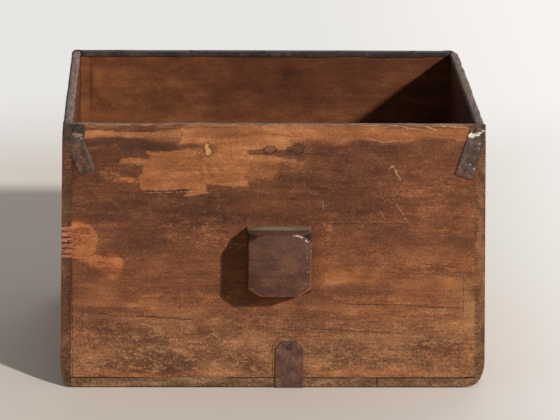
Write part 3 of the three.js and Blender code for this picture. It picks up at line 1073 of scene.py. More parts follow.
@dataclass(frozen=True)
class HandleFinish:
    """Dark purple-brown wood, smooth from hands, its arrises rubbed and its cut corners grimy."""

    node: str
    facet_across: float = 10.4 * MM
    facet_down: float = 6.9 * MM
    face_half_width: float = 23.8 * MM

    def build(self) -> bpy.types.Material:
        """Builds the material.

        Returns:
            The material.
        """
        g = Graph(f"{self.node}_wood")
        low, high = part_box(self.node)
        side = math.copysign(1, high.y + low.y)
        face_y = high.y if side > 0 else low.y
        middle = (low + high) / 2
        half_height = (high.z - low.z) / 2
        place = g.vector("SUBTRACT", g.place, (middle.x, face_y, middle.z))
        x, y, z = g.parts(place)
        back = g.times(y, -side)
        across = g.absolute(x)
        rise = g.absolute(z)

        grain = g.noise((30, 26, 1.6), 5.0, 0.6)
        cloud = g.noise((15, 20, 13), 6.0, 0.62, shift=4.7)
        grit = g.noise((1.3, 1.3, 1.3), 3.0, 0.6, shift=8.9)
        fray = g.noise((5, 5, 5), 6.0, 0.7, shift=14.9)
        heart = g.spread(g.length(g.vector("MULTIPLY", place, (1.0, 0.0, 1.0))), 20, 2, MM)
        tone = g.mixture((cloud, 0.5), (grain, 0.2), (grit, 0.3), (heart, 0.05))
        colour = g.ramp(tone, ((0.36, 50, 30, 25), (0.5, 75, 46, 36), (0.66, 104, 68, 48)))
        speck = g.noise((1.0, 1.0, 2.0), 1.0, 0.5, shift=19.1)
        sparse = g.spread(g.minus(x, z), -4, 24, MM)
        specks = g.times(g.spread(speck, 0.68, 0.74), g.scaled(sparse, 0.15, 0.75))
        colour = g.blend(specks, colour, paint(160, 128, 100))

        run = math.hypot(self.facet_across, self.facet_down)
        slant = (self.facet_down / run, self.facet_across / run)
        offset = (self.face_half_width - self.facet_across) * slant[0] + half_height * slant[1]
        corner = g.minus(g.scale_add(across, slant[0], g.times(rise, slant[1])), offset)
        border = g.most(
            g.minus(across, self.face_half_width),
            g.minus(rise, half_height),
            corner,
        )
        frayed = g.scale_add(g.minus(fray, 0.5), 3.5 * MM, border)
        near_face = g.spread(back, 3.5, 1.2, MM)
        rubbed = g.times(g.spread(frayed, -1.5, -0.3, MM), near_face)
        lower = g.spread(g.minus(x, g.times(z, 2.0)), -4, 14, MM)
        colour = g.blend(g.times(rubbed, lower, 0.7), colour, paint(140, 80, 46))
        upper_right = g.times(g.spread(x, 4, 12, MM), g.spread(z, 4, 13, MM))
        chalky = g.times(near_face, g.spread(g.mixture((fray, 0.5), (grit, 0.5)), 0.48, 0.56))
        white = g.times(g.spread(frayed, -1.0, -0.4, MM), g.times(chalky, upper_right))
        colour = g.blend(g.times(white, 0.85), colour, paint(196, 174, 158))

        on_facet = g.times(g.spread(corner, 0.7, 1.6, MM), g.spread(z, 0.0, 6 * MM))
        colour = g.blend(g.times(on_facet, 0.9), colour, paint(38, 34, 30))
        on_top = g.spread(z, half_height - 1.4 * MM, half_height - 0.5 * MM)
        # The pale strip on the rear of the top is a painted sheen: pale surroundings reflected in the worn
        # top.
        top_sheen = g.times(on_top, g.spread(g.scale_add(fray, 4 * MM, back), 18, 21, MM))
        top_front = g.times(on_top, g.spread(back, 1.5, 4, MM))
        colour = g.blend(g.times(top_front, 0.6), colour, paint(102, 76, 58))
        sheen_colour = g.ramp(tone, ((0.36, 94, 74, 58), (0.64, 166, 142, 116)))
        colour = g.blend(g.times(top_sheen, 0.85), colour, sheen_colour)
        relief = g.mixture((grain, 0.3), (grit, 0.4), (cloud, 0.5))
        return g.finish(colour, g.scaled(tone, 0.5, 0.72), relief, 0.25 * MM, gloss=0.2)


@dataclass(frozen=True)
class IronFinish:
    """Forged iron gone brown, with rust and a few bright scuffs."""

    name: str
    stops: Stops
    rust: Colour
    scuff: Colour = paint(150, 134, 122)
    rust_share: float = 0.6
    scuff_share: float = 0.5
    chipped: tuple[Spot, ...] = ()
    chip_colour: Colour = paint(206, 196, 184)
    rusted: tuple[Spot, ...] = ()
    painted_highlights: tuple[Line, ...] = ()

    def build(self) -> bpy.types.Material:
        """Builds the material.

        Returns:
            The material.
        """
        g = Graph(self.name)
        cloud = g.noise((8, 8, 9), 6.0, 0.64)
        pits = g.noise((1.6, 1.6, 1.6), 3.0, 0.62, shift=6.1)
        fray = g.noise((4, 4, 4), 6.0, 0.7, shift=18.3)
        tone = g.mixture((cloud, 0.6), (pits, 0.4))
        colour = g.ramp(tone, self.stops)
        rusty = g.spread(g.noise((7, 7, 7), 5.0, 0.65, shift=12.7), 0.5, 0.62)
        colour = g.blend(g.times(rusty, self.rust_share), colour, self.rust)
        bright = g.spread(g.mixture((pits, 0.7), (cloud, 0.3)), 0.62, 0.68)
        colour = g.blend(g.times(bright, self.scuff_share), colour, self.scuff)
        if self.chipped:
            x, y, z = g.parts(g.place)
            if self.rusted:
                rusted = g.marks(self.rusted, (x, z, fray))
                colour = g.blend(rusted, colour, g.ramp(tone, ((0.4, 64, 40, 30), (0.6, 122, 80, 56))))
            # A pale band along the strap is a painted highlight, where its crowned face turns to the light.
            if self.painted_highlights:
                painted_highlights = g.marks(self.painted_highlights, (x, z, fray))
                colour = g.blend(g.times(painted_highlights, 0.4), colour, paint(112, 98, 94))
            chipped = g.marks(self.chipped, (x, z, fray))
            at_front = g.spread(y, 0.0, -10 * MM)
            pitted = g.spread(pits, 0.36, 0.5)
            chalk = g.blend(pitted, g.blend(0.45, self.chip_colour, DARK_LINE), self.chip_colour)
            colour = g.blend(g.times(chipped, at_front), colour, chalk)
        return g.finish(colour, g.scaled(tone, 0.6, 0.85), tone, 0.3 * MM, gloss=0.3)


@dataclass(frozen=True)
class PegFinish:
    """Bare peg wood, end grain at the ends that show."""

    name: str

    def build(self) -> bpy.types.Material:
        """Builds the material.

        Returns:
            The material.
        """
        g = Graph(self.name)
        fibre = g.noise((1.2, 1.2, 1.2), 4.0, 0.6)
        cloud = g.noise((6, 6, 6), 3.0, 0.6, shift=2.9)
        tone = g.mixture((fibre, 0.5), (cloud, 0.5))
        colour = g.ramp(tone, ((0.38, 84, 56, 38), (0.62, 142, 104, 70)))
        return g.finish(colour, 0.75, tone, 0.2 * MM)


LEFT_STRAP_CHIPS = each(
    blot,
    (-148.8, 195.4, 2.2, 1.3, 6, 0.7, 0.6), (-146.4, 193.7, 2.2, 1.7, 7, 0.7, 0.7),
    (-144.6, 191.8, 1.3, 1.2, 5, 0.6, 0.65),
)
RIGHT_STRAP_CHIPS = each(
    blot,
    (148.2, 194.6, 2.4, 1.9, 6, 0.5), (151.4, 195.4, 2.6, 1.2, 6, 0.5),
    (154.2, 196.8, 2, 1, 5, 0.5), (156.6, 198, 1.8, 0.9, 5, 0.5),
    (154.3, 188.3, 0.6, 0.6, 1.5, 0.4, 0.6), (153.5, 184.5, 0.5, 0.5, 1.5, 0.4, 0.4),
    (150.3, 169, 0.6, 0.6, 1.5, 0.4, 0.7), (147.5, 172.5, 0.5, 0.5, 1.5, 0.4, 0.4),
)
LEFT_STRAP_RUST = each(
    blot,
    (-143.5, 171, 5, 4.5, 9, 1.6, 0.6), (-148, 184, 3, 5, 8, 2, 0.5),
)
RIGHT_STRAP_RUST = each(
    blot,
    (153.4, 199.4, 2.4, 2, 5, 0.8, 0.55), (143, 165.5, 6, 3, 7, 1.4, 0.6),
)
# A painted highlight along the left strap's right edge, where its crowned face turns to the light.
LEFT_STRAP_HIGHLIGHT = each(Line, (-142.6, 190, -134.6, 167.5, 1.9, 1.2, 5.0))


class Finishes:
    """Every material of the measure, made once."""

    def __init__(self) -> None:
        """Builds the materials."""
        strap = ((0.36, 28, 19, 14), (0.5, 52, 37, 29), (0.64, 88, 69, 57))
        dark_strap = ((0.36, 34, 24, 20), (0.5, 70, 53, 44), (0.64, 106, 88, 77))
        base = ((0.36, 46, 28, 21), (0.5, 76, 48, 37), (0.64, 112, 78, 63))
        rim = ((0.34, 22, 16, 14), (0.5, 44, 33, 29), (0.66, 78, 64, 59))
        nail = ((0.34, 22, 14, 11), (0.5, 42, 27, 21), (0.66, 84, 58, 46))
        left, right = (FRONT_END_WEAR, LEFT_WEAR), (FRONT_END_WEAR, RIGHT_WEAR)
        boards = (
            BoardFinish("front_board", Axis.ACROSS, (FRONT_WEAR,), RIM_CREAM, 0.45 * MM, 0.2 * MM),
            BoardFinish("rear_board", Axis.ACROSS, (REAR_WEAR,), inner_spots=REAR_INNER_SPOTS),
            # The left board's last number lightens its inner face, painted light; the right board's darkens
            # it, painted shade.
            BoardFinish("left_side_board", Axis.DEEP, left, RIM_GREY, 3.5 * MM, 1.7 * MM, (), 0.07),
            BoardFinish("right_side_board", Axis.DEEP, right, RIM_BROWN, 3.5 * MM, 0.8 * MM, (), -0.06),
        )
        self.boards = {board.node: board.build() for board in boards}
        self.plank = PlankFinish("bottom_plank_wood").build()
        blocks = ("front_handle_block", "rear_handle_block")
        self.handles = {node: HandleFinish(node).build() for node in blocks}
        left = IronFinish(
            "left_strap_iron",
            strap,
            paint(98, 62, 40),
            scuff_share=0.3,
            chipped=LEFT_STRAP_CHIPS,
            chip_colour=paint(150, 122, 112),
            rusted=LEFT_STRAP_RUST,
            painted_highlights=LEFT_STRAP_HIGHLIGHT,
        )
        right = IronFinish(
            "right_strap_iron",
            dark_strap,
            paint(88, 56, 44),
            rust_share=0.35,
            scuff_share=0.3,
            chipped=RIGHT_STRAP_CHIPS,
            rusted=RIGHT_STRAP_RUST,
        )
        self.straps = {"left": left.build(), "right": right.build()}
        self.base_strap = IronFinish("base_strap_iron", base, paint(108, 66, 46), rust_share=0.45).build()
        # The rim strip's pale bluish scuffs are partly painted glints on the dark iron.
        self.rim_strip = IronFinish(
            "rim_strip_iron", rim, paint(70, 48, 38), paint(104, 96, 96), rust_share=0.5, scuff_share=0.4
        ).build()
        rust = paint(64, 38, 27)
        self.nail = IronFinish("nail_iron", nail, rust, rust_share=0.4, scuff_share=0.2).build()
        self.peg = PegFinish("peg_wood").build()


EdgeTest = Callable[[bmesh.types.BMEdge], bool]


class Shaper:
    """A piece in the making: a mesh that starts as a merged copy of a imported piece."""

    merge_within: float = 0.002 * MM
    flat_within: float = math.radians(0.4)
    sharp_past: float = math.radians(25)
    slack: float = 0.02 * MM

    def __init__(self, mesh: bmesh.types.BMesh) -> None:
        """Takes the mesh that it shapes."""
        self.mesh = mesh

    @classmethod
    def copy_of(cls, node: str) -> "Shaper":
        """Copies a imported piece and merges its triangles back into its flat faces.

        Args:
            node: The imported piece's name.

        Returns:
            The copy, ready to shape.
        """
        mesh = bmesh.new()
        mesh.from_mesh(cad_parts[node].data)
        bmesh.ops.remove_doubles(mesh, verts=mesh.verts, dist=cls.merge_within)
        bmesh.ops.dissolve_limit(mesh, angle_limit=cls.flat_within, verts=mesh.verts, edges=mesh.edges)
        return cls(mesh)

    def slice(self, axis: Axis, places: Iterable[float], above: float = -1.0, below: float = 1.0) -> None:
        """Cuts the faces at places along an axis, so that they can bend there.

        Args:
            axis: The axis.
            places: The places along it.
            above: Only faces above this height are cut.
            below: Only faces below this height are cut.
        """
        normal = Vector((0.0, 0.0, 0.0))
        normal[axis.value] = 1.0
        for place in places:
            self.cut_flat(normal * place, normal, above, below)

    def cut_flat(self, place: Vector, normal: Vector, above: float = -1.0, below: float = 1.0) -> None:
        """Cuts the faces between two heights along one plane.

        Args:
            place: A place on the plane.
            normal: Its normal.
            above: Only faces above this height are cut.
            below: Only faces below this height are cut.
        """
        low, high = above - self.slack, below + self.slack
        faces = [f for f in self.mesh.faces if all(low < vertex.co.z < high for vertex in f.verts)]
        edges = dict.fromkeys(edge for face in faces for edge in face.edges)
        verts = dict.fromkeys(vertex for face in faces for vertex in face.verts)
        found = list(verts) + list(edges) + faces
        bmesh.ops.bisect_plane(
            self.mesh, geom=found, dist=self.slack / 2, plane_co=place, plane_no=normal
        )

    def round_edges(self, width: float, segments: int, wanted: EdgeTest) -> None:
        """Rounds the sharp edges that a test picks.

        Args:
            width: How far the rounding reaches from an edge.
            segments: The faces that make up the rounding.
            wanted: The test.
        """
        edges = [
            edge
            for edge in self.mesh.edges
            if len(edge.link_faces) == 2 and edge.calc_face_angle() > self.sharp_past and wanted(edge)
        ]
        bmesh.ops.bevel(
            self.mesh,
            geom=edges,
            offset=width,
            offset_type="OFFSET",
            segments=segments,
            profile=0.5,
            affect="EDGES",
            clamp_overlap=True,
            material=-1,
        )

    def move_each(self, shift: Callable[[Vector], Vector]) -> None:
        """Moves every vertex by a shift that its place gives."""
        for vertex in self.mesh.verts:
            vertex.co += shift(vertex.co)

    def finish(
        self,
        name: str,
        material: bpy.types.Material,
        slot: str,
        stands_for: Sequence[str],
        crease: float = 38.0,
    ) -> bpy.types.Object:
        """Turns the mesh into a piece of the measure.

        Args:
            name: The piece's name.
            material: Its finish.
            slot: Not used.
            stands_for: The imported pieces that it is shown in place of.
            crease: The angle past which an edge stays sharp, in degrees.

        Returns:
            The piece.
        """
        limit = math.radians(crease)
        for edge in self.mesh.edges:
            edge.smooth = len(edge.link_faces) != 2 or edge.calc_face_angle() < limit
        for face in self.mesh.faces:
            face.smooth = True
        data = bpy.data.meshes.new(name)
        self.mesh.to_mesh(data)
        self.mesh.free()
        data.materials.append(material)
        piece = bpy.data.objects.new(name, data)
        bpy.context.scene.collection.objects.link(piece)
        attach(piece, BODY)
        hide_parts(*stands_for)
        log.info("%s: %d faces", name, len(data.polygons))
        return piece


def steps(low: float, high: float, step: float) -> list[float]:
    """Gives evenly spaced places strictly between two bounds."""
    count = max(1, round((high - low) / step))
    return [low + (high - low) * i / count for i in range(1, count)]


def follow(points: Sequence[tuple[float, float]], place: float) -> float:
    """Reads a value off a row of points, straight between them.

    Args:
        points: Pairs of a place and a value, the places in rising order.
        place: The place to read.

    Returns:
        The value there.
    """
    below = points[0]
    for point in points:
        if place < point[0]:
            share = (place - below[0]) / (point[0] - below[0]) if point[0] > below[0] else 0.0
            return below[1] + share * (point[1] - below[1])
        below = point
    return below[1]


@dataclass(frozen=True)
class FootWear:
    """The wear that has rounded the four corners of the foot. It moves every piece there alike."""

    left_reach: float = 13 * MM
    right_reach: float = 19.6 * MM
    rise: float = 20 * MM
    depth: float = 26 * MM
    height: float = 34 * MM
    left_bend: float = 3.2
    right_bend: float = 2.6

    def shift(self, place: Vector) -> Vector:
        """Gives how far wear has moved a place near the foot's corners.

        Args:
            place: The place.

        Returns:
            Its shift.
        """
        if (place.x < 0) == (place.y < 0):
            reach, bend = self.left_reach, self.left_bend
        else:
            reach, bend = self.right_reach, self.right_bend
        beyond = min(1.0, max(0.0, (abs(place.x) - BOX.foot_half + reach) / reach))
        near = min(1.0, max(0.0, 1 - (BOX.foot_half - abs(place.y)) / self.depth))
        near = near * near * (3 - 2 * near)
        curve = 1 - (1 - beyond ** bend) ** (1 / bend)
        up = self.rise * near * curve * max(0.0, 1 - place.z / self.height)
        return Vector((-math.copysign(BOX.lean * up, place.x), 0.0, up))


FOOT_WEAR = FootWear()


def wobble(place: Vector, size: float, seed: float) -> float:
    """Gives smooth noise from -1 to 1, with features of about a size."""
    return noise.noise(place / size + Vector((seed, 2 * seed, 3 * seed)))


@dataclass
class Boards:
    """The four comb-jointed boards, with worn rims and arrises."""

    finishes: Finishes
    comb_arris: float = 0.12 * MM
    cross_rim_round: float = 1.5 * MM
    side_rim_outer: float = 3.8 * MM
    side_rim_inner: float = 1.8 * MM
    rim_step: float = 3 * MM
    rim_dip: float = 0.7 * MM
    rim_sway: float = 0.5 * MM
    rim_nick: float = 0.45 * MM
    corner_round: float = 5 * MM
    corner_reach: float = 12 * MM
    corner_drop: float = 2.2 * MM
    reach_down: float = 14 * MM
    foot_top: float = 40 * MM
    foot_slices: tuple[float, ...] = (36, 30, 25, 20, 16, 12.5, 10)
    corner_slices: tuple[float, ...] = (8.4, 6.4, 4.6, 3.2, 2.0, 1.1, 0.5, 0.15)
    rim_slices: tuple[float, ...] = (5, 3.6, 2.4, 1.4, 0.6, 0.2)
    dip_length: float = 17 * MM
    sway_length: float = 21 * MM
    nick_length: float = 13 * MM

    def build(self) -> None:
        """Builds the four boards."""
        self.board("front_board", Axis.ACROSS, self.cross_rim_round, self.cross_rim_round)
        self.board("rear_board", Axis.ACROSS, 0.3 * MM, 0.3 * MM)
        self.board("left_side_board", Axis.DEEP, self.side_rim_outer, self.side_rim_inner)
        self.board("right_side_board", Axis.DEEP, self.side_rim_outer, self.side_rim_inner)

    def board(self, node: str, run: Axis, outer_round: float, inner_round: float) -> None:
        """Builds one board.

        Args:
            node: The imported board.
            run: The way that it runs.
            outer_round: How round the outer arris of its rim is worn.
            inner_round: How round the inner one is.
        """
        shaper = Shaper.copy_of(node)
        low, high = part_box(node)
        along = run.value
        out = 1 - along
        side = math.copysign(1, low[out] + high[out])
        end = BOX.mouth_half - BOX.wall - 1 * MM if run is Axis.ACROSS else high[along] - 6 * MM
        shaper.slice(Axis.UP, [self.foot_top, high.z - self.reach_down, high.z - 0.45 * self.reach_down])
        shaper.slice(run, steps(-end, end, self.rim_step), above=high.z - self.reach_down)
        for hand in (-1, 1):
            near_end = (hand * place for place in BOX.inward(*self.foot_slices))
            shaper.slice(run, near_end, below=self.foot_top)
            at_corner = (hand * place for place in BOX.inward(*self.corner_slices))
            shaper.slice(Axis.ACROSS, at_corner, below=self.foot_top)
            if run is Axis.ACROSS:
                rim_end = [hand * (BOX.mouth_half - depth * MM) for depth in self.rim_slices]
                shaper.slice(run, rim_end, above=high.z - self.reach_down)
        top = high.z - 0.05 * MM
        middle = BOX.mouth_half - BOX.wall / 2

        def on_rim(edge: bmesh.types.BMEdge, hand: int) -> bool:
            """Tells whether an edge is the rim's outer arris, or its inner one."""
            return all(v.co.z > top and hand * v.co[out] * side > hand * middle for v in edge.verts)

        shaper.round_edges(outer_round, 5, lambda edge: on_rim(edge, 1))
        shaper.round_edges(inner_round, 4, lambda edge: on_rim(edge, -1))
        shaper.round_edges(self.comb_arris, 1, self.in_comb)

        def worn(place: Vector) -> Vector:
            """Gives how far wear has moved a place.

            Args:
                place: The place.

            Returns:
                Its shift.
            """
            near = max(0.0, 1 - (high.z - place.z) / self.reach_down)
            key = Vector((place[along], 0.0, low[out]))
            dip = self.rim_dip * near ** 2 * (0.5 + 0.5 * wobble(key, self.dip_length, 1.3))
            sway = self.rim_sway * near ** 2 * (wobble(key, self.sway_length, 5.7) - 1)
            outer = max(0.0, place[out] * side - middle) / (BOX.wall / 2)
            nick = self.rim_nick * near ** 3 * outer * max(0.0, 2 * wobble(key, self.nick_length, 8.3))
            to_corner = BOX.half_at(place.z) - abs(place[along])
            lost = self.corner_drop * max(0.0, 1 - to_corner / self.corner_reach) ** 2 * near ** 2
            drop = lost * (0.35 + 0.65 * outer)
            if run is Axis.ACROSS:
                beyond = min(self.corner_round, max(0.0, abs(place.x) - BOX.mouth_half + self.corner_round))
                drop = near * (self.corner_round - math.sqrt(self.corner_round ** 2 - beyond ** 2))
            shift = Vector((0.0, 0.0, -dip - drop - 0.4 * nick))
            shift[out] = side * (sway * outer - nick - 0.6 * lost * outer)
            return shift + FOOT_WEAR.shift(place)

        shaper.move_each(worn)
        shaper.finish(f"{node}_worn", self.finishes.boards[node], "board_wood", [node])

    def in_comb(self, edge: bmesh.types.BMEdge) -> bool:
        """Tells whether an edge lies on the outside of a comb joint.

        Args:
            edge: The edge.

        Returns:
            Whether it does.
        """

        def outside(vertex: bmesh.types.BMVert) -> bool:
            """Tells whether a corner of the mesh lies on the outside of a comb joint.

            Args:
                vertex: The mesh's corner.

            Returns:
                Whether it does.
            """
            half = BOX.half_at(vertex.co.z)
            reach = sorted((abs(vertex.co.x), abs(vertex.co.y)))
            on_face = reach[1] > half - 0.05 * MM
            return on_face and reach[0] > half - BOX.wall - 0.4 * MM

        return all(outside(vertex) for vertex in edge.verts) and edge.calc_length() > 1.5 * MM


@dataclass
class Planks:
    """The two bottom planks, a little rounded along the foot."""

    finishes: Finishes
    arris: float = 0.7 * MM
    side_slices: tuple[float, ...] = (20, 18, 16, 14, 12, 10, 8.5)
    end_slices: tuple[float, ...] = (26, 22, 18, 14, 10, 6, 3)

    def build(self) -> None:
        """Builds both planks."""
        for node in ("wide_bottom_plank", "narrow_bottom_plank"):
            shaper = Shaper.copy_of(node)
            low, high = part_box(node)

            def at_end(edge: bmesh.types.BMEdge) -> bool:
                """Tells whether an edge borders the plank's front or rear end."""
                on_end = all(abs(abs(v.co.y) - high.y) < 0.3 * MM for v in edge.verts)
                return on_end and edge.calc_length() > 3 * MM

            shaper.round_edges(self.arris, 2, at_end)
            side = math.copysign(1, low.x + high.x)
            shaper.slice(Axis.ACROSS, (side * place for place in BOX.inward(*self.side_slices)))
            for end in (-1, 1):
                shaper.slice(Axis.DEEP, (end * place for place in BOX.inward(*self.end_slices)))
            shaper.move_each(FOOT_WEAR.shift)
            shaper.finish(f"{node}_worn", self.finishes.plank, "bottom_wood", [node])


@dataclass
class HandleBlocks:
    """The two block handles, rounded by hands."""

    finishes: Finishes
    arris: float = 1.5 * MM
    unevenness: float = 0.25 * MM
    unevenness_length: float = 12 * MM
    fade: float = 6 * MM
    back_half_width: float = 24.3 * MM

    def build(self) -> None:
        """Builds both blocks."""
        for end in ("front", "rear"):
            node = f"{end}_handle_block"
            shaper = Shaper.copy_of(node)
            low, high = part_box(node)
            board_side = BOX.half_at(low.z) + 0.5 * MM
            face_side = max(abs(low.y), abs(high.y))
            middle = (low.x + high.x) / 2
            packed_half_width = (high.x - low.x) / 2

            def outer(edge: bmesh.types.BMEdge) -> bool:
                """Tells whether an edge stands clear of the board."""
                off = [abs(vertex.co.y) - board_side for vertex in edge.verts]
                return min(off) > -1 * MM and max(off) > 1 * MM

            shaper.round_edges(self.arris, 3, outer)

            def uneven(place: Vector) -> Vector:
                """Gives how far hands have moved a place.

                Args:
                    place: The place.

                Returns:
                    Its shift.
                """
                off_board = min(1.0, max(0.0, (abs(place.y) - board_side) / self.fade))
                depth = self.unevenness * off_board
                inward = min(1.0, max(0.0, (face_side - abs(place.y)) / (face_side - board_side)))
                squeeze = inward * (1 - self.back_half_width / packed_half_width)
                waves = [wobble(place, self.unevenness_length, seed) for seed in (2.1, 4.3, 6.5)]
                return Vector((
                    depth * waves[0] - squeeze * (place.x - middle),
                    depth * 0.5 * (waves[1] - 1) * math.copysign(1, place.y),
                    depth * waves[2],
                ))

            shaper.move_each(uneven)
            shaper.finish(f"{node}_worn", self.finishes.handles[node], "handle_wood", [node], crease=28)


Bow = tuple[tuple[float, float], ...]


@dataclass
class Straps:
    """The iron straps at the corners, the strap under the bottom and the strip on the rear rim.

    A bow is given in mm: rows of a height and how far the strap lies outwards there.
    """

    finishes: Finishes
    arris: float = 0.35 * MM
    left_round: float = 3.8 * MM
    right_round: float = 1.2 * MM
    top_round: float = 2.0 * MM
    rear_top_round: float = 5.0 * MM
    base_round: float = 2.4 * MM
    half_width: float = 7 * MM
    slant: float = 0.27
    step: float = 3 * MM
    crown: float = 0.45 * MM
    dent: float = 0.15 * MM
    dent_length: float = 6 * MM
    sway: float = 0.35 * MM
    sway_length: float = 9 * MM
    top_droop: float = 0.35 * MM
    lip_wave: float = 0.9 * MM
    lip_wave_length: float = 21 * MM
    strip_dip: float = 0.35 * MM
    strip_dip_length: float = 31 * MM
    bar_thickness: float = 1.6 * MM
    left_bow: Bow = ((163, 0.0), (170, 0.6), (180, 2.2), (192, 3.6), (198.5, 0.9), (203, 0.0))
    right_bow: Bow = ((161, -1.1), (182, 0.0), (203, 1.2))

    def build(self) -> None:
        """Builds all the straps."""
        for end in ("front", "rear"):
            for hand in ("left", "right"):
                self.corner(f"{end}_{hand}_corner_strap")
        self.base()
        self.rim()

    def corner(self, node: str) -> None:
        """Builds one corner strap, with rounded corners and a crowned, slightly uneven face.

        Args:
            node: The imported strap.
        """
        shaper = Shaper.copy_of(node)
        low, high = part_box(node)
        at_front = low.y < 0
        outward = -1 if at_front else 1
        shoulder = low.z + 6 * MM
        side = math.copysign(1, low.x + high.x)
        hand = "left" if (low.x + high.x < 0) == at_front else "right"
        foot_round = self.left_round if hand == "left" else self.right_round
        bow = [(z * MM, off * MM) for z, off in (self.left_bow if hand == "left" else self.right_bow)]
        top_round = self.top_round if at_front else self.rear_top_round
        shaper.round_edges(foot_round, 4, lambda e: self.through(e) and e.verts[0].co.z < shoulder)
        shaper.round_edges(top_round, 4, lambda e: self.through(e) and e.verts[0].co.z > high.z - MM)
        foot = [v.co for v in shaper.mesh.verts if v.co.z < low.z + 4 * MM]
        foot_x = sum(co.x for co in foot) / len(foot)
        lean = Vector((high.z - low.z, 0.0, side * self.slant * (high.z - low.z))).normalized()
        for offset in (-self.step, 0.0, self.step):
            shaper.cut_flat(Vector((foot_x, 0.0, low.z + 1 * MM)) + lean * offset, lean)
        shaper.slice(Axis.UP, steps(low.z, high.z, self.step))
        shaper.round_edges(
            self.arris, 3, lambda e: e.calc_length() > 0.4 * MM and self.outer_edge(e, outward)
        )
        centre = Vector((foot_x, 0.0, low.z))

        def hammered(place: Vector) -> Vector:
            """Gives how far the smith's hammer has moved a place.

            Args:
                place: The place.

            Returns:
                Its shift.
            """
            off = abs((place - centre).dot(lean)) / self.half_width
            on_face = 1.0 if abs(place.y) > BOX.half_at(place.z) + 0.7 * MM else 0.0
            dents = self.dent * (1 + wobble(place, self.dent_length, 4.1))
            sink = on_face * (self.crown * off ** 2 + dents)
            sway = self.sway * wobble(Vector((0.0, low.x, place.z)), self.sway_length, 3.3)
            sway += side * follow(bow, place.z)
            sway = side * min(side * (place.x + sway), BOX.mouth_half - 0.1 * MM) - place.x
            top = max(0.0, 1 - (high.z - place.z) / self.step)
            return Vector((sway, -outward * (sink + on_face * self.top_droop * top ** 2), 0.0))

        shaper.move_each(hammered)
        shaper.finish(f"{node}_forged", self.finishes.straps[hand], "strap_iron", [node])

    def through(self, edge: bmesh.types.BMEdge) -> bool:
        """Tells whether an edge runs through a strap's thickness.

        Args:
            edge: The edge.

        Returns:
            Whether it does.
        """
        reach = edge.verts[0].co - edge.verts[1].co
        across = abs(reach.x) < 0.1 * MM and abs(reach.z) < 0.1 * MM and abs(reach.y) > 0.8 * MM
        return across and edge.calc_face_angle() > math.radians(60)

    def outer_edge(self, edge: bmesh.types.BMEdge, outward: int) -> bool:
        """Tells whether an edge lies on the side of a strap that is away from the wood."""
        return all(outward * v.co.y > BOX.half_at(v.co.z) + 0.9 * MM for v in edge.verts)

    def base(self) -> None:
        """Builds the strap round the bottom, its upper corners rounded."""
        shaper = Shaper.copy_of("base_strap")
        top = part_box("base_strap")[1].z

        def shoulder(edge: bmesh.types.BMEdge) -> bool:
            """Tells whether an edge is one of the upper corners.

            Args:
                edge: The edge.

            Returns:
                Whether it is.
            """
            first, second = edge.verts
            through = abs(first.co.x - second.co.x) < 0.1 * MM and abs(first.co.z - second.co.z) < 0.1 * MM
            return through and first.co.z > top - 10 * MM and edge.calc_length() < 2 * MM

        shaper.round_edges(self.base_round, 3, shoulder)
        shaper.round_edges(self.arris, 2, lambda e: e.calc_length() > self.bar_thickness)
        shaper.finish("base_strap_forged", self.finishes.base_strap, "strap_iron", ["base_strap"])

    def rim(self) -> None:
        """Builds the strip on the rear rim, a little wavy along its lip."""
        shaper = Shaper.copy_of("rear_rim_strip")
        low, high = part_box("rear_rim_strip")
        shaper.slice(Axis.ACROSS, steps(low.x, high.x, 5 * MM))
        shaper.round_edges(self.arris, 2, lambda e: e.calc_length() > self.bar_thickness)

        def wavy(place: Vector) -> Vector:
            """Gives how far a place of the strip is off a straight line.

            Args:
                place: The place.

            Returns:
                Its shift.
            """
            key = Vector((place.x, 0.0, 0.0))
            if place.z < high.z - 3 * MM:
                return Vector((0.0, 0.0, self.lip_wave * wobble(key, self.lip_wave_length, 7.9)))
            dip = 0.5 + 0.5 * wobble(key, self.strip_dip_length, 9.1)
            return Vector((0.0, 0.0, -self.strip_dip * dip))

        shaper.move_each(wavy)
        shaper.finish("rear_rim_strip_forged", self.finishes.rim_strip, "strap_iron", ["rear_rim_strip"])


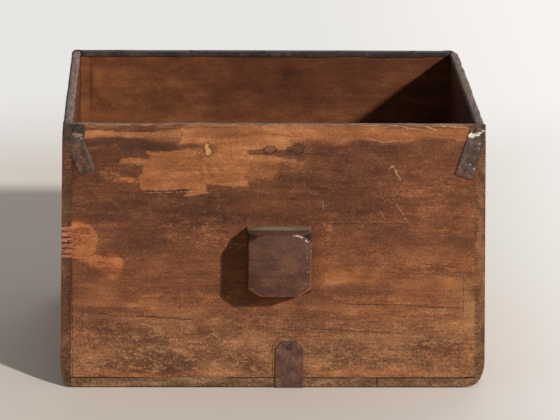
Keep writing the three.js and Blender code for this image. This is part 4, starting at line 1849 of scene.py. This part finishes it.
@dataclass
class Nails:
    """Forged nails with low, uneven round heads, beaten nearly flat on the straps and the rim."""

    finishes: Finishes
    head_radius: float = 2.5 * MM
    head_rise: float = 0.9 * MM
    strap_head_rise: float = 0.5 * MM
    rim_head_rise: float = 0.3 * MM
    shank_radius: float = 0.95 * MM
    unevenness: float = 0.2 * MM
    unevenness_length: float = 2.5 * MM
    rim_share: float = 0.7
    sides: int = 20

    def build(self) -> None:
        """Builds a nail for each packed one."""
        for node in sorted(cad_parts):
            if "rim_strip_nail" in node:
                self.nail(node, self.rim_share * self.rim_head_rise, self.finishes.rim_strip)
            elif "base_strap_nail" in node:
                self.nail(node, self.head_rise, self.finishes.nail)
            elif "_nail" in node:
                hand = "left" if ("front_left" in node or "rear_right" in node) else "right"
                self.nail(node, self.strap_head_rise, self.finishes.straps[hand])

    def nail(self, node: str, rise: float, material: bpy.types.Material) -> None:
        """Builds one nail in place of a packed one.

        Args:
            node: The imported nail.
            rise: How far its head stands up.
            material: Its finish.
        """
        low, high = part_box(node)
        middle = (low + high) / 2
        size = high - low
        if size.z > size.x and size.z > size.y:
            outward, head = Vector((0, 0, 1)), Vector((middle.x, middle.y, high.z))
        elif middle.y < 0:
            outward, head = Vector((0, -1, 0)), Vector((middle.x, low.y, middle.z))
        else:
            outward, head = Vector((0, 1, 0)), Vector((middle.x, high.y, middle.z))
        packed_rise = self.rim_head_rise if outward.z else self.head_rise
        head -= outward * (packed_rise - rise)
        length = max(size) - packed_rise
        mesh = bmesh.new()
        profile = [
            (0.0, -length),
            (0.8 * self.shank_radius, -0.75 * length),
            (self.shank_radius, -0.05 * MM),
            (0.92 * self.head_radius, 0.0),
            (self.head_radius, 0.25 * rise),
            (0.9 * self.head_radius, 0.6 * rise),
            (0.6 * self.head_radius, 0.9 * rise),
            (0.0, rise),
        ]
        verts = [mesh.verts.new((radius, 0.0, along)) for radius, along in profile]
        edges = [mesh.edges.new(pair) for pair in zip(verts, verts[1:])]
        bmesh.ops.spin(
            mesh,
            geom=verts + edges,
            cent=(0, 0, 0),
            axis=(0, 0, 1),
            angle=math.tau,
            steps=self.sides,
            use_merge=True,
        )
        bmesh.ops.remove_doubles(mesh, verts=mesh.verts, dist=0.001 * MM)
        bmesh.ops.recalc_face_normals(mesh, faces=mesh.faces)
        turn = Vector((0, 0, 1)).rotation_difference(outward).to_matrix().to_4x4()
        place = Matrix.Translation(head - outward * rise)
        bmesh.ops.transform(mesh, matrix=place @ turn, verts=mesh.verts)
        shaper = Shaper(mesh)
        seed = 10 * (middle.x + middle.z)
        way = Vector((self.unevenness, 0.0, self.unevenness))
        shaper.move_each(lambda at: way * wobble(at, self.unevenness_length, seed))
        shaper.finish(f"{node}_forged", material, "nail_iron", [node], crease=60)


@dataclass
class Pegs:
    """The wooden pegs and dowels. Those in the handles show inside the box, with clean round ends."""

    finishes: Finishes
    arris: float = 0.4 * MM
    sides: int = 28

    def build(self) -> None:
        """Builds the handle pegs and dresses the hidden ones."""
        for node in sorted(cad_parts):
            if "_handle_peg_" in node:
                self.handle_peg(node)
            elif "_peg_" in node or "_dowel_" in node:
                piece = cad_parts[node]
                piece.data.materials.clear()
                piece.data.materials.append(self.finishes.peg)

    def handle_peg(self, node: str) -> None:
        """Builds one handle peg in place of a packed one.

        Args:
            node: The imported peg.
        """
        low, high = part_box(node)
        middle = (low + high) / 2
        radius = (high.z - low.z) / 2
        mesh = bmesh.new()
        bmesh.ops.create_cone(
            mesh,
            cap_ends=True,
            cap_tris=False,
            segments=self.sides,
            radius1=radius,
            radius2=radius,
            depth=high.y - low.y - self.arris,
            matrix=Matrix.Translation(middle) @ Matrix.Rotation(math.pi / 2, 4, "X"),
        )
        shaper = Shaper(mesh)
        shaper.round_edges(self.arris, 2, lambda e: True)
        shaper.finish(f"{node}_turned", self.finishes.peg, "peg_wood", [node])


@dataclass
class Studio:
    """The pale floor, the lamps, the fill light and the camera."""

    floor_radius: float = 30.0
    camera_place: Vector = Vector((-79.6, -3314.3, 819.7)) * MM
    pitch_down: float = math.radians(12.20)
    turn_right: float = math.radians(1.53)
    roll: float = math.radians(0.42)
    focal_length: float = 276.36
    key_from: Vector = Vector((0.67, -1.0, 0.49))
    key_strength: float = 3.6
    key_colour: tuple[float, float, float] = (1.0, 0.97, 0.93)
    key_angle: float = math.radians(3.0)
    fill_strength: float = 0.25
    back_from: Vector = Vector((0.2, 1.0, 0.35))
    back_strength: float = 0.9
    back_angle: float = math.radians(40)

    def build(self) -> None:
        """Builds the floor, the lamps, the world and the camera."""
        self.floor()
        self.lamps()
        self.world()
        self.camera()
        bpy.context.scene.view_settings.view_transform = "Standard"

    def floor(self) -> None:
        """Builds the floor, pale under the measure and white away from it, lighter to the right as a
        painted pool of light.
        """
        g = Graph("floor_plaster")
        mottle = g.noise((500, 500, 500), 6.0, 0.55)
        across = g.parts(g.place)[0]
        # Lighter towards the right: a painted pool of light, as the key light falls from the right.
        right = g.spread(across, 0.0, 0.3)
        near = g.blend(mottle, paint(222, 213, 203), paint(235, 227, 218))
        colour = g.blend(right, near, paint(254, 251, 247))
        diffuse = g.node("ShaderNodeBsdfDiffuse")
        g.feed(diffuse.inputs["Color"], colour)
        white = g.node("ShaderNodeEmission")
        # The white seen away from the measure is also lighter to the right, the same painted light.
        paper = g.blend(g.spread(across, 0.05, 0.35), paint(232, 230, 228), paint(247, 243, 239))
        g.feed(white.inputs["Color"], paper)
        white.inputs["Strength"].default_value = 1.0
        rays = g.node("ShaderNodeLightPath")
        seen = g.most(*(rays.outputs[f"Is {kind} Ray"] for kind in ("Camera", "Glossy", "Transmission")))
        beside = g.times(g.spread(across, 0.13, 0.4), 0.9)
        far = g.most(beside, g.spread(g.length(g.place), 0.55, 1.1))
        mixed = g.node("ShaderNodeMixShader")
        g.feed(mixed.inputs[0], g.times(far, seen))
        g.feed(mixed.inputs[1], diffuse.outputs[0])
        g.feed(mixed.inputs[2], white.outputs[0])
        output = g.node("ShaderNodeOutputMaterial")
        g.feed(output.inputs["Surface"], mixed.outputs[0])
        mesh = bmesh.new()
        bmesh.ops.create_circle(mesh, cap_ends=True, radius=self.floor_radius, segments=64)
        data = bpy.data.meshes.new("floor")
        mesh.to_mesh(data)
        mesh.free()
        data.materials.append(g.material)
        floor = bpy.data.objects.new("floor", data)
        bpy.context.scene.collection.objects.link(floor)

    def lamps(self) -> None:
        """Builds the key light from the front right and a weak one from behind."""
        key = self.sun("key", self.key_strength, self.key_angle, self.key_from)
        key.color = self.key_colour
        self.sun("back", self.back_strength, self.back_angle, self.back_from)

    def sun(self, name: str, strength: float, angle: float, source: Vector) -> bpy.types.Light:
        """Builds a sun lamp that shines on the measure.

        Args:
            name: The lamp's name.
            strength: Its strength.
            angle: How wide it looks, in radians.
            source: The direction that it shines from.

        Returns:
            The lamp's light.
        """
        light = bpy.data.lights.new(name, "SUN")
        light.energy = strength
        light.angle = angle
        lamp = bpy.data.objects.new(name, light)
        bpy.context.scene.collection.objects.link(lamp)
        lamp.location = source.normalized() * 2
        lamp.rotation_mode = "QUATERNION"
        lamp.rotation_quaternion = source.to_track_quat("Z", "Y")
        return light

    def world(self) -> None:
        """Builds the even fill light."""
        world = bpy.data.worlds.new("studio")
        world.use_nodes = True
        background = world.node_tree.nodes["Background"]
        background.inputs["Color"].default_value = (1.0, 0.98, 0.96, 1.0)
        background.inputs["Strength"].default_value = self.fill_strength
        bpy.context.scene.world = world

    def camera(self) -> None:
        """Builds the camera at the photograph's place."""
        data = bpy.data.cameras.new("camera")
        data.sensor_width = 36.0
        data.lens = self.focal_length
        data.clip_start = 0.1
        data.clip_end = 100.0
        camera = bpy.data.objects.new("camera", data)
        bpy.context.scene.collection.objects.link(camera)
        ahead = Vector((math.sin(self.turn_right), math.cos(self.turn_right), 0.0))
        level_right = Vector((math.cos(self.turn_right), -math.sin(self.turn_right), 0.0))
        upward = Vector((0.0, 0.0, 1.0))
        forward = ahead * math.cos(self.pitch_down) - upward * math.sin(self.pitch_down)
        level_up = ahead * math.sin(self.pitch_down) + upward * math.cos(self.pitch_down)
        right = level_right * math.cos(self.roll) + level_up * math.sin(self.roll)
        up = level_up * math.cos(self.roll) - level_right * math.sin(self.roll)
        turn = Matrix((right, up, -forward)).transposed().to_4x4()
        camera.matrix_world = Matrix.Translation(self.camera_place) @ turn
        bpy.context.scene.camera = camera


def main() -> None:
    """Builds the measure's looks, piece by piece, and its studio."""
    logging.basicConfig(level=logging.INFO, format="%(name)s: %(message)s")
    Studio().build()
    finishes = Finishes()
    for maker in (Boards, Planks, HandleBlocks, Straps, Nails, Pegs):
        maker(finishes).build()


if __name__ == "__main__":
    main()
